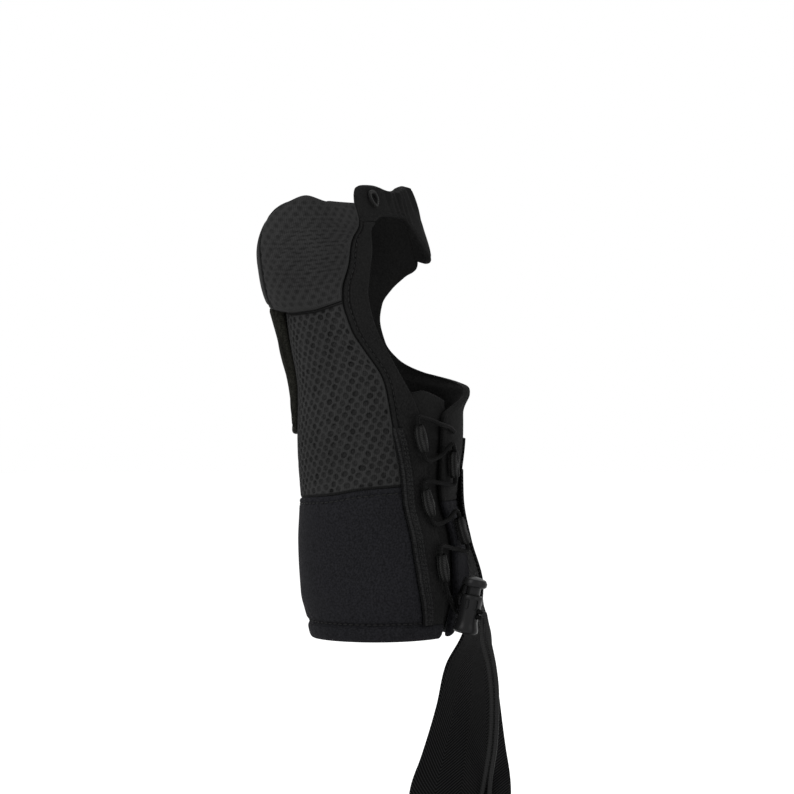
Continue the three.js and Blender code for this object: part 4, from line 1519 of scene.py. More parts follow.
@dataclass
class UlnarDome(ClothPanel):
    """Padded dome on the little-finger edge, covered in the spacer mesh."""

    pitch: float = 4.5
    row: float = 3.0
    hole: float = 1.6
    depth: float = 0.6
    rise: Pair = (58.2, 107.0)
    seam_gap: float = 2.0
    heights: Table = Table("across foot crown", (
        (0, 8, 8.4), (0.12, 8, 9.6), (0.28, 6, 10.6), (0.5, 2.8, 9.2), (0.75, 1.4, 5.8), (1, 0.8, 0.8),
    ))
    pull_spot: Pair = (0.74, 0.52)
    pull_size: Pair = (0.24, 0.34)
    dash_shares: Triple = (1.25, 0.7, 0.56)
    dash_pull: float = 1.8
    # painted shade of the hollows, where the cover lies loose and where it is pulled tight
    dark: Pair = (0.54, 0.92)
    forms: Forms = (SewnLine(From.ALL, 2.6, 0.7, -0.4), Uneven(0.25, 31, 26))
    # degrees round the dome over which the painted shade of the border line fades out
    line_fade: Pair = (165.0, 190.0)
    border: float = 1.7
    border_bend: float = 4.0
    border_turns: Pair = (139.5, 158.0)
    piping_turn: float = 2.4
    piping_sink: float = 1.6
    piping_taper: float = 6.0
    slack: float = 0.7
    swell_range: Pair = (-0.2, 1.6)
    frames: int = 20
    grid: int = 33
    pressure: float = 4.0
    stiffness: float = 20.0
    bending: float = 2.0
    swollen: Optional[Array] = field(default=None, init=False)

    def place(self, s: Array, t: Array) -> Place:
        """Place on the form."""
        return sewn_patch(s, t, (PAD_SEAM, PAD_TOP), self.rise, self.seam_gap, (SEAM_GAP, 0.0))

    def _lift(self, s: Array, t: Array) -> Array:
        """Height of the dome over the form.

        Args:
            s: Shares across.
            t: Shares up.

        Returns:
            Millimetres.
        """
        off = np.clip(np.abs(2 * t - 1), 0, 1)
        arch = np.where(t < 0.5, np.sqrt(1 - off ** 3), (1 - off ** 2.2) ** 0.75)
        foot = self.heights.read("foot", s) * (1 - 0.75 * t)
        crown = self.heights.read("crown", s)
        return CLOTH + mix(foot, np.maximum(foot, crown), arch)

    def swell(self) -> None:
        """Puts the slack cover under light pressure, as cloth held along its seams.

        The cloth is stiff and hardly moves, so the cover keeps nearly all of its slack.
        """
        count, share = self.grid, np.linspace(0, 1, self.grid)
        s, t = np.meshgrid(share, share)
        angle, z = self.place(s, t)
        lift = self._lift(s, t)
        sag = self.slack * np.sin(math.pi * s) * np.sin(math.pi * t)
        points = FORM.point(angle, z, lift - sag)
        index = np.arange(count * count).reshape(count, count)
        cover = make_object("dome_cover", points, [grid_faces(index)])
        rim = np.unique(np.concatenate([index[0], index[-1], index[:, 0], index[:, -1]]))
        held = cover.vertex_groups.new(name="seams")
        held.add([int(k) for k in rim], 1.0, "REPLACE")
        cloth = cover.modifiers.new("cover", "CLOTH").settings
        cloth.quality = 6
        cloth.vertex_group_mass = "seams"
        cloth.use_pressure = True
        cloth.uniform_pressure_force = self.pressure
        cloth.tension_stiffness = self.stiffness
        cloth.compression_stiffness = self.stiffness
        cloth.bending_stiffness = self.bending
        cloth.effector_weights.gravity = 0
        scene = bpy.context.scene
        for number in range(1, self.frames + 1):
            scene.frame_set(number)
        shape = cover.evaluated_get(bpy.context.evaluated_depsgraph_get()).to_mesh()
        moved = np.empty(count * count * 3, dtype=np.float32)
        shape.vertices.foreach_get("co", moved)
        scene.frame_set(1)
        bpy.data.objects.remove(cover, do_unlink=True)
        outward = FORM.point(angle, z, lift + 1) - FORM.point(angle, z, lift)
        rise = ((moved.reshape(count, count, 3) - points) * outward).sum(-1) / (outward ** 2).sum(-1)
        self.swollen = np.clip(rise, *self.swell_range) - sag
        log.info("dome cover rose up to %.2f mm", float(rise.max()))

    def _swollen_at(self, s: Array, t: Array) -> Array:
        """How far the cover lies over the set height, or under it, between its grid points.

        Args:
            s: Shares across, the same in each row.
            t: Shares up, the same in each column.

        Returns:
            Millimetres, 0 if it was not put under pressure.
        """
        if self.swollen is None:
            return np.zeros_like(s)
        share = np.linspace(0, 1, self.grid)
        rows = np.array([np.interp(s[0], share, row) for row in self.swollen])
        return np.array([np.interp(t[:, 0], share, column) for column in rows.T]).T

    def wall(self, lay: Lay) -> Array:
        """Height of the cover over the form."""
        return self._lift(lay.s, lay.t) + self._swollen_at(lay.s, lay.t)

    def _pull(self, lay: Lay) -> Array:
        """Where the cover is pulled tight towards the palm band."""
        parts = zip((lay.s, lay.t), self.pull_spot, self.pull_size)
        return math.prod(ridge(at - spot, size) for at, spot, size in parts)

    def _dents(self, lay: Lay) -> Array:
        """Round hollows, pulled into dashes towards the palm band.

        Args:
            lay: The panel's grid.

        Returns:
            Hollowness from 0 to 1.
        """
        pull = self._pull(lay)
        up = lay.up + 0.05 * lay.across
        sizes = (self.pitch, self.row, self.hole)
        marks = hex_hollows(lay.across, up, *sizes)
        pulled = (share * size for share, size in zip(self.dash_shares, sizes))
        dashes = hex_hollows(lay.across, up, *pulled, pull=self.dash_pull)
        cloth = mix(marks, dashes, pull) * smoothstep(lay.edge, 1.2, 3.0)
        return np.where(self._border(lay) > 0, cloth, 0)

    def hollow(self, lay: Lay) -> Array:
        """Painted shade in the hollows and along the sewn line of the border."""
        line = 1.1 * ridge(self._border(lay), 0.5) * (1 - smoothstep(lay.angle, *self.line_fade))
        return np.clip(mix(*self.dark, self._pull(lay)) * mesh_marks(self._dents(lay)) + line, 0, 1)

    def _border(self, lay: Lay) -> Array:
        """How far a spot lies inside the line where the dome's face is sewn to its border strip.

        Args:
            lay: The panel's grid.

        Returns:
            Millimetres, below 0 on the strip.
        """
        turn = mix(*self.border_turns, np.clip(lay.t, 0, 1) ** 0.55)
        side = (lay.angle - turn) * 0.25
        top = lay.over - self.border
        bend = self.border_bend
        corner = bend - np.hypot(np.minimum(side - bend, 0), np.minimum(top - bend, 0))
        return np.where((side < bend) & (top < bend), corner, np.minimum(side, top))

    def relief(self, lay: Lay) -> Array:
        """Hollows, pressed lines beside the seams and the border, and soft unevenness."""
        sewn = super().relief(lay) - 0.4 * ridge(self._border(lay), 0.5)
        return sewn - 0.5 * self.depth * self._dents(lay)

    def build(self) -> None:
        """Puts the cover under pressure, makes the dome and dresses it."""
        self.swell()
        super().build()
        self._piping()

    def _piping(self) -> None:
        """Piping along the dome's back edge."""
        t = np.linspace(0.04, 0.98, 90)
        s = np.zeros_like(t)
        angle, z = self.place(s, t)
        path = FORM.point(angle - self.piping_turn, z, self._lift(s, t) - self.piping_sink)
        run = lengths(path, 0)
        slim = np.sqrt(np.clip(run[-1] - run, 0, self.piping_taper) / self.piping_taper)
        piece = tube("pad_rim_piping", path, 0.4 + 0.8 * slim, CORD_SIDES)
        dress(piece, PIPING, Slot.TAPE, "pad_rim")


def frames_along(path: Array) -> tuple[Array, Array, Array]:
    """Ways along and across a line, carried on without twist.

    Args:
        path: Points of the line.

    Returns:
        Unit ways along it, and two unit ways across it.
    """
    along = np.gradient(path, axis=0)
    along /= np.linalg.norm(along, axis=1, keepdims=True)
    first = np.cross(along[0], [0.3, 0.5, 0.81])
    side = np.empty_like(path)
    side[0] = first / np.linalg.norm(first)
    for k in range(1, len(path)):
        carried = side[k - 1] - along[k] * np.dot(side[k - 1], along[k])
        side[k] = carried / np.linalg.norm(carried)
    return along, side, np.cross(along, side)


def tube(name: str, path: Array, radius: Array, sides: int, braid: float = 0.0) -> Piece:
    """Round cord along a line, closed by domed ends.

    Args:
        name: Name of the piece.
        path: Points of its middle line in metres.
        radius: Radius at each point in millimetres.
        sides: Points round it.
        braid: Share of the radius that braided strands stand up.

    Returns:
        The cord's object.
    """
    along, side, other = frames_along(path)
    lift = np.linspace(0, 1, CAP_RINGS + 1)[:-1]
    cap, pull = np.maximum(crest(lift, 1), 0.08), 1 - lift
    line = np.concatenate([
        path[:1] - along[:1] * (radius[0] * MM * pull)[:, None],
        path,
        path[-1:] + along[-1:] * (radius[-1] * MM * pull[::-1])[:, None],
    ])
    size = np.concatenate([cap * radius[0], radius, cap[::-1] * radius[-1]])
    side, other = (np.pad(ways, ((CAP_RINGS, CAP_RINGS), (0, 0)), mode="edge") for ways in (side, other))
    turn = TURN * np.arange(sides) / sides
    run = lengths(line, 0)
    twist, strand = BRAID_STRANDS * turn, TURN * run[:, None] / BRAID_PITCH
    ring = size[:, None] * (1 + braid * (np.sin(twist + strand) * np.sin(twist - strand))) * MM
    points = line[:, None] + ring[..., None] * (
        np.cos(turn)[None, :, None] * side[:, None] + np.sin(turn)[None, :, None] * other[:, None]
    )
    steps = len(line)
    quads = grid_faces(ring_index(steps, sides))
    caps = np.array([np.arange(sides)[::-1], (steps - 1) * sides + np.arange(sides)])
    return make_object(name, points, [quads, caps], on_cloth(turn / TURN, run[:, None]))


def through(points: Array, step: float) -> Array:
    """Smooth line through given points, at even steps.

    Args:
        points: Points in metres.
        step: Spacing in millimetres.

    Returns:
        Points of the line.
    """
    wide = np.vstack([2 * points[0] - points[1], points, 2 * points[-1] - points[-2]])
    gaps = np.linalg.norm(np.diff(wide, axis=0), axis=1) ** 0.5
    parts = []
    for k in range(len(points) - 1):
        p0, p1, p2, p3 = wide[k:k + 4]
        d0, d1, d2 = gaps[k:k + 3]
        leave = ((p1 - p0) / d0 - (p2 - p0) / (d0 + d1) + (p2 - p1) / d1) * d1
        reach = ((p2 - p1) / d1 - (p3 - p1) / (d1 + d2) + (p3 - p2) / d2) * d1
        t = np.linspace(0, 1, 60, endpoint=False)[:, None]
        square, cube = t * t, t * t * t
        parts.append(
            p1 + leave * t + (-3 * p1 + 3 * p2 - 2 * leave - reach) * square
            + (2 * p1 - 2 * p2 + leave + reach) * cube
        )
    line = np.vstack([*parts, points[-1:]])
    run = lengths(line, 0)
    even = np.linspace(0, run[-1], max(4, round(run[-1] / step)))
    return along_line(even, run, line)


@dataclass(frozen=True)
class LoopSeat:
    """Where one lacing loop sits."""

    node: str
    angle: float
    z: float
    cloth: float


LOOP_SEATS = (
    LoopSeat("lace_loop_1", 244.6, -8.7, BAND_CLOTH),
    LoopSeat("lace_loop_2", 252.3, -40.0, BAND_CLOTH),
    LoopSeat("lace_loop_3", 259.6, -71.7, BAND_CLOTH),
    LoopSeat("lace_loop_4", 274.2, -21.5, CLOTH),
    LoopSeat("lace_loop_5", 281.0, -54.5, CLOTH),
)


@dataclass
class LaceLoops:
    """Short webbing tunnels that the lace runs through."""

    long: float = 13.5
    wide: float = 5.8
    tall: float = 4.8
    wall: float = 0.65
    lean: float = 14.0
    lift: float = 0.85
    around: int = 40
    steps: int = 34
    ribs: int = 7
    rib: float = 0.2
    crease: float = 0.22
    end_roll: float = 0.6
    end_drop: float = 0.3
    middle: float = 1.04
    narrower: float = 0.4

    def stand(self, seat: LoopSeat) -> Matrix:
        """Stand of one loop on the shell."""
        return FORM.seat(seat.angle, seat.z, seat.cloth + self.tall / 2 + self.lift, self.lean)

    def line(self, node: str, beyond: float) -> Array:
        """Middle line of one loop, from over its upper end to under its lower end.

        Args:
            node: Name of the loop.
            beyond: Millimetres that the line runs past each end.

        Returns:
            Three points in metres.
        """
        seat = next(each for each in LOOP_SEATS if each.node == node)
        half = (self.long / 2 + beyond) * MM
        return np.array([self.stand(seat) @ Vector((0, y, 0)) for y in (half, 0, -half)])

    def build(self) -> None:
        """Makes every loop and dresses it."""
        for number, seat in enumerate(LOOP_SEATS):
            self._loop(seat, number)

    def _loop(self, seat: LoopSeat, number: int) -> None:
        """Makes one loop: a soft oval sleeve with ribs along it and rolled ends.

        Args:
            seat: Where it sits.
            number: Its place in the row, which varies its creases.
        """
        turn = np.linspace(0, TURN, self.around, endpoint=False)
        ribs = np.sin(turn * self.ribs)
        y = (np.concatenate([[0, 0.02], np.linspace(0.05, 0.95, self.steps), [0.98, 1]]) - 0.5) * self.long
        ends_drop = self.end_drop * (1 - crest(self.long / 2 - np.abs(y), self.end_roll))
        shells = []
        for inset, sign in ((0.0, 1.0), (self.wall, -1.0)):
            rolled = inset + sign * ends_drop
            crease = 0.0
            if sign > 0:
                crease = self.crease * waves(y[:, None] + turn * 0, np.cos(turn)[None, :] * 6, 40 + number, 6)
                crease = crease + self.rib * ribs
            taper = self.middle - self.narrower * np.abs(2 * y / self.long)[:, None] ** 2
            half_wide = self.wide / 2 * taper - rolled[:, None] + crease
            half_tall = self.tall / 2 - rolled[:, None] + crease
            x, z = half_wide * np.cos(turn), half_tall * np.sin(turn)
            shells.append(np.stack(np.broadcast_arrays(x, y[:, None], z), -1))
        rows, count = len(y), self.around
        outer = grid_faces(ring_index(rows, count), flip=True)
        inner = outer[:, ::-1] + rows * count
        ends = []
        for row, flip in ((0, 1), (rows - 1, -1)):
            a = row * count + np.arange(count)
            b = np.roll(a, -1)
            ends.append(np.stack([a, b, b + rows * count, a + rows * count], -1)[:, ::flip])
        points = stood(np.stack(shells).reshape(-1, 3) * MM, self.stand(seat))
        cloth = on_cloth(turn * 2.6, y[:, None])
        # painted shade between the ribs and towards the ends, and over the whole inner face
        ends_dark = np.abs(2 * y / self.long)[:, None] ** 6
        marks = np.clip(0.5 - 0.5 * ribs + ends_dark, 0, 1)
        piece = make_object(
            f"{seat.node}_webbing", points, [outer, inner, *ends],
            np.concatenate([cloth, cloth]), np.concatenate([marks.ravel(), np.ones(rows * count)]),
        )
        dress(piece, LOOP_WEBBING, Slot.WEBBING, seat.node)


@dataclass
class WebLoop:
    """Small flat loop sewn on the palm strap."""

    angle: float = 262.6
    z: float = 109.6
    over: float = 0.95
    outer: Pair = (7.2, 9.6)
    inner: Pair = (4.0, 5.8)
    thick: float = 1.6
    steps: int = 72
    sides: int = 14

    def _drop(self, size: Pair, share: Array) -> Array:
        """Teardrop outline, pointed below.

        Args:
            size: Width and height.
            share: Shares round it.

        Returns:
            Points across and up.
        """
        wide, tall = size
        side = np.where(share < 0.5, 1.0, -1.0)
        t = np.where(share < 0.5, share * 2, 2 - share * 2)
        h = 1 - t
        x = 3 * h * h * t * 0.75 * wide + 3 * h * t * t * 0.6 * wide
        y = -h ** 3 * tall / 2 - 3 * h * h * t * 0.1 * tall + 3 * h * t * t * tall / 2 + t ** 3 * tall / 2
        return np.stack([side * x, y], -1)

    def build(self) -> None:
        """Makes the loop as a rounded strip bent into a teardrop, and dresses it."""
        share = np.linspace(0, 1, self.steps, endpoint=False)
        outside, inside = self._drop(self.outer, share), self._drop(self.inner, share)
        round_in, round_up = soft_round(TURN * np.arange(self.sides) / self.sides, 0.6)
        middle, half = (outside + inside) / 2, (outside - inside) / 2
        flat = middle[:, None] + half[:, None] * round_in[:, None]
        height = self.thick / 2 + self.thick / 2 * np.broadcast_to(round_up, flat.shape[:2])
        stand = FORM.seat(self.angle, self.z, BAND_CLOTH + self.over)
        points = stood(np.concatenate([flat, height[..., None]], -1) * MM, stand)
        quads = grid_faces(ring_index(self.steps, self.sides, closed=True))
        cloth = on_cloth(np.arange(self.sides) * 0.4, share[:, None] * 24)
        piece = make_object("web_loop_strip", points, [quads], cloth, np.full(len(cloth), 0.35))
        dress(piece, LOOP_WEBBING, Slot.WEBBING, "web_loop")


@dataclass
class CordLock:
    """Cord lock: a barrel with a window for the two cords, and a sprung button in it."""

    foot: Triple = (3.1, -43.2, -104.5)
    way: Triple = (0.106, -0.169, 0.98)
    travel: float = 3.5
    radius: float = 5.6
    tall: float = 19.0
    floor: float = 2.0
    bore: float = 3.9
    stem: float = 3.55
    hole_wide: float = 3.0
    hole_tall: float = 5.6
    hole_up: float = 10.5
    sides: int = 64
    edge: float = 0.22
    sharp: float = 40.0
    smooth: float = 38.0
    corner: float = 0.49
    play: float = 0.4
    head_gap: float = 0.6
    stem_edge: Pair = (0.4, 0.6)
    tip: float = 0.4
    barrel_side: tuple[Pair, ...] = (
        (-0.6, 0), (0.5, 0.9), (0.6, 2.2), (0.1, 3.6), (-0.5, 6), (-0.4, 12), (-0.1, 16.5), (0, 18.2),
        (-0.4, 19),
    )
    head_side: tuple[Pair, ...] = ((-0.4, 0), (0.5, 0.8), (0.6, 2.4), (-0.3, 3.9), (-2.6, 4.7))
    head_tall: float = 5.0
    slot_turns: tuple[float, ...] = (190.0, 238.0)
    slot_size: Triple = (2.2, 2.2, 5.4)
    slot_up: float = 14.6

    def stand(self) -> Matrix:
        """Stand of the lock: its own +Z runs up the barrel."""
        turn = Vector((0, 0, 1)).rotation_difference(Vector(self.way).normalized())
        return Matrix.Translation(Vector(self.foot) * MM) @ turn.to_matrix().to_4x4()

    def inside(self, x: float, y: float, z: float) -> Array:
        """Point given in the lock's own millimetres, in metres."""
        return np.array(self.stand() @ (Vector((x, y, z)) * MM))

    def _lathe(self, name: str, profile: Sequence[Pair]) -> Piece:
        """Builds a round piece upward from a disc by extruding and sizing its rim.

        Args:
            name: Name of the piece.
            profile: Radius and height of each ring in millimetres, from the bottom.

        Returns:
            The piece, in the lock's own place.
        """
        radius, height = profile[0]
        bpy.ops.mesh.primitive_circle_add(
            vertices=self.sides, radius=radius * MM, fill_type="NGON", location=(0, 0, height * MM),
        )
        piece = bpy.context.object
        piece.name = name
        apply_place()
        with editing():
            bpy.ops.mesh.select_all(action="SELECT")
            for ring, level in profile[1:]:
                climb = (0, 0, (level - height) * MM)
                bpy.ops.mesh.extrude_region_move(TRANSFORM_OT_translate={"value": climb})
                share = ring / radius
                bpy.ops.transform.resize(value=(share, share, 1), center_override=(0, 0, level * MM))
                radius, height = ring, level
            bpy.ops.mesh.select_all(action="SELECT")
            bpy.ops.mesh.normals_make_consistent(inside=False)
        return piece

    def _cutter(self, size: Triple, up: float, out: float = 0, turn: float = 0) -> Piece:
        """Block with rounded sides that cuts a window or a slot.

        Args:
            size: Width, depth and height in millimetres.
            up: Height of its middle on the lock.
            out: Distance of its middle from the lock's axis.
            turn: Degrees round the axis.

        Returns:
            The cutter.
        """
        way = math.radians(turn)
        place = Vector((out * math.cos(way), out * math.sin(way), up)) * MM
        stance = (0, 0, way + math.pi / 2)
        bpy.ops.mesh.primitive_cube_add(size=MM, location=place, rotation=stance, scale=size)
        cutter = bpy.context.object
        bpy.ops.object.transform_apply(location=False, rotation=False, scale=True)
        with editing():
            bpy.ops.mesh.select_all(action="DESELECT")
        spots = cutter.data.vertices
        for edge in cutter.data.edges:
            one, two = (spots[k].co for k in edge.vertices)
            edge.select = abs(one.y - two.y) > size[1] / 2 * MM
        with editing():
            bpy.ops.mesh.select_mode(type="EDGE")
            bpy.ops.mesh.bevel(offset=self.corner * size[0] * MM, segments=8)
        apply_place()
        return cutter

    def _finish(self, piece: Piece, cutters: Sequence[Piece]) -> None:
        """Cuts a piece, rounds its edges and stands it in its place.

        Args:
            piece: The piece.
            cutters: What is cut out of it.
        """
        for cutter in cutters:
            cut = piece.modifiers.new("window", "BOOLEAN")
            cut.operation = "DIFFERENCE"
            cut.solver = "EXACT"
            cut.object = cutter
        bevel = piece.modifiers.new("edges", "BEVEL")
        bevel.width = self.edge * MM
        bevel.segments = 3
        bevel.limit_method = "ANGLE"
        bevel.angle_limit = math.radians(self.sharp)
        bpy.ops.object.select_all(action="DESELECT")
        bpy.context.view_layer.objects.active = piece
        piece.select_set(True)
        for modifier in list(piece.modifiers):
            bpy.ops.object.modifier_apply(modifier=modifier.name)
        for cutter in cutters:
            bpy.data.objects.remove(cutter, do_unlink=True)
        piece.matrix_world = self.stand()
        apply_place()
        bpy.ops.object.shade_smooth_by_angle(angle=math.radians(self.smooth))

    def build(self) -> None:
        """Makes the barrel and the button and dresses them."""
        window = (self.hole_wide, 4 * self.radius, self.hole_tall)
        side = [(self.radius + out, up) for out, up in self.barrel_side]
        bore = [(self.bore, self.tall), (self.bore, self.floor)]
        barrel = self._lathe("cord_lock_barrel_moulding", side + bore)
        slots = [self._cutter(self.slot_size, self.slot_up, self.radius, turn) for turn in self.slot_turns]
        self._finish(barrel, [self._cutter(window, self.hole_up, turn=-90), *slots])
        dress(barrel, LOCK_PLASTIC, Slot.PLASTIC, "cord_lock_barrel")
        stem_low = self.floor + self.travel + self.play
        head = self.tall + self.travel + self.head_gap
        inset, climb = self.stem_edge
        profile = [
            (self.stem - inset, stem_low), (self.stem, stem_low + climb), (self.stem, head),
            *((self.radius + out, head + up) for out, up in self.head_side),
            (self.tip, head + self.head_tall),
        ]
        button = self._lathe("cord_lock_button_moulding", profile)
        window = (self.hole_wide, 4 * self.radius, self.hole_tall + self.travel)
        self._finish(button, [self._cutter(window, self.hole_up + self.travel / 2, turn=-90)])
        dress(button, LOCK_PLASTIC, Slot.PLASTIC, "cord_lock_button", body=Body.BUTTON)


@dataclass
class Laces:
    """Braided lace over the tongue, its sewn end, and the free loop below the cord lock."""

    lock: CordLock
    loops: LaceLoops
    radius: float = 1.1
    over: float = CLOTH + 0.6
    beyond: float = 3.5
    apart: float = 1.35
    step: float = 0.7
    braid: float = 0.05
    path: tuple[Pair | str, ...] = (
        (275.6, -5.6), (271, -3.6), (262, -1.6), (252, 0.6), "lace_loop_1", (262, -17.5), "lace_loop_4",
        (264.5, -30.5), "lace_loop_2", (269, -49), "lace_loop_5", (272, -63), "lace_loop_3", (268.5, -86.5),
    )
    end_path: tuple[Pair, ...] = ((291, -82), (285, -86), (278, -88.5))
    tail_route: tuple[Triple, ...] = (
        (0.0036, -0.0531, -0.0974), (0.0024, -0.0533, -0.1020), (0.0019, -0.0541, -0.1075),
        (0.0025, -0.0569, -0.1190), (0.0033, -0.0581, -0.1310), (0.0033, -0.0582, -0.1460),
        (0.0015, -0.0581, -0.1600), (-0.0045, -0.0589, -0.1740), (-0.0116, -0.0608, -0.1820),
        (-0.0166, -0.0612, -0.1880), (-0.0188, -0.0633, -0.1930), (-0.0175, -0.0672, -0.1956),
        (-0.0146, -0.0701, -0.1930), (-0.0117, -0.0690, -0.1880), (-0.0092, -0.0645, -0.1820),
        (-0.0030, -0.0613, -0.1740), (0.0030, -0.0604, -0.1600), (0.0047, -0.0604, -0.1460),
        (0.0047, -0.0604, -0.1310), (0.0040, -0.0592, -0.1190), (0.0031, -0.0569, -0.1070),
        (0.0030, -0.0560, -0.1005), (0.0031, -0.0546, -0.0946),
    )

    def _along(self, rows: Sequence[Pair | str]) -> list[Array]:
        """Points of a run over the shell and through the loops.

        Args:
            rows: Angle and height of each spot, or the name of a loop.

        Returns:
            Points in metres.
        """
        points: list[Array] = []
        for row in rows:
            if isinstance(row, str):
                points.extend(self.loops.line(row, self.beyond))
            else:
                points.append(FORM.point(row[0], row[1], self.over + self.radius))
        return points

    def _through_lock(self, up: float) -> list[Array]:
        """Points of a cord through the lock at one height."""
        reach = self.lock.radius
        return [self.lock.inside(0, y, up) for y in (reach + 1.4, 3.0, -reach - 1.2)]

    def _cord(self, node: str, points: Sequence[Sequence[float]], finish: Finish) -> tuple[Piece, Array]:
        """Makes one braided cord through points and dresses it.

        Args:
            node: Node that it stands for.
            points: Points in metres.
            finish: Finish of the cord.

        Returns:
            The cord's object and its middle line.
        """
        line = through(np.array(points), self.step)
        piece = tube(f"{node}_cord", line, np.full(len(line), self.radius), CORD_SIDES, self.braid)
        dress(piece, finish, Slot.CORD, node)
        return piece, line

    def build(self) -> None:
        """Makes the three cords and dresses them."""
        low, high = self.lock.hole_up - self.apart, self.lock.hole_up + self.apart
        # the lace and its sewn end take the painted-shade copy of the cord, the tail the painted-light copy
        self._cord("lace", [*self._along(self.path), *self._through_lock(low)], SHADED_LACE_CORD)
        self._cord("lace_end", [*self._along(self.end_path), *self._through_lock(high)], SHADED_LACE_CORD)
        tail, line = self._cord("lace_tail", self.tail_route, LIT_TAIL_CORD)
        long = float(lengths(line, 0)[-1]) * MM
        log.info("free cord %.0f mm", long / MM)


@dataclass
class PullStrap:
    """Webbing strap that hangs from its patch on the thumb side and turns to face the front."""

    wide: float = 50.0
    thick: float = 1.6
    step: float = 0.9
    tuck: float = 1.5
    rolls: Pair = (1.4, 1.2)
    edge: float = 0.9
    thin: float = 0.25
    wave: float = 0.35
    sections: Table = Table("z x y turn bow", (
        (-192, -20.3, -53.8, 122, 0.6), (-182, -14.5, -50.9, 128, 0.6), (-163, 1.0, -44.0, 154.5, 0.6),
        (-140, 15.9, -37.8, 172.4, 0.6), (-120, 27.8, -31.7, 184, 0.8), (-108, 37.5, -29.4, 194.3, 1.2),
        (-85, 46.4, -24.8, 215.4, 2.2), (-60, 39.6, -15.3, 229, 4), (-42, 34.5, -10.4, 238, 6.4),
        (-26, 31.7, -8.0, 245.6, 8.8),
    ))

    def build(self) -> None:
        """Makes the strap and dresses it."""
        low, high = self.sections.rows[0][0], self.sections.rows[-1][0]
        across = spaced(self.wide, self.step, self.rolls[0]) - 0.5
        rows = low + (high - low) * spaced(high - low, self.step, self.rolls[1], (0.0, self.tuck))
        s, z = np.meshgrid(across, rows)
        read = {name: self.sections.read(name, z) for name in ("x", "y", "turn", "bow")}
        turn = np.radians(read["turn"])
        wide = np.stack([np.cos(turn), np.sin(turn), np.zeros_like(turn)], -1)
        out = np.stack([-wide[..., 1], wide[..., 0], np.zeros_like(turn)], -1)
        middle = np.stack([read["x"], read["y"], z], -1) + wide * (s * self.wide)[..., None]
        arch = read["bow"] * (1 - 4 * s ** 2)
        side = (0.5 - np.abs(s)) * self.wide
        down = z - low
        close = np.minimum(side, np.minimum(down, high + self.tuck - z))
        along = lengths(middle * MM, 0)
        cross = (s + 0.5) * self.wide
        selvage = 0.12 * ridge(side - 1.6, 0.7) - 0.16 * ridge(side - 3.0, 0.4)
        selvage = selvage - 0.2 * ridge(down - 7.5, 0.45)
        wave = self.wave * waves(cross, along, 37, 48)
        half = self.thick / 2 * mix(self.thin, 1, crest(close, self.edge)) + selvage
        faces = [(middle + out * (arch + wave - sign * half)[..., None]) * MM for sign in (1, -1)]
        piece = make_wall("pull_strap_web", *faces, on_cloth(cross, along), np.zeros_like(s))
        dress(piece, WEBBING, Slot.WEBBING, "pull_strap")


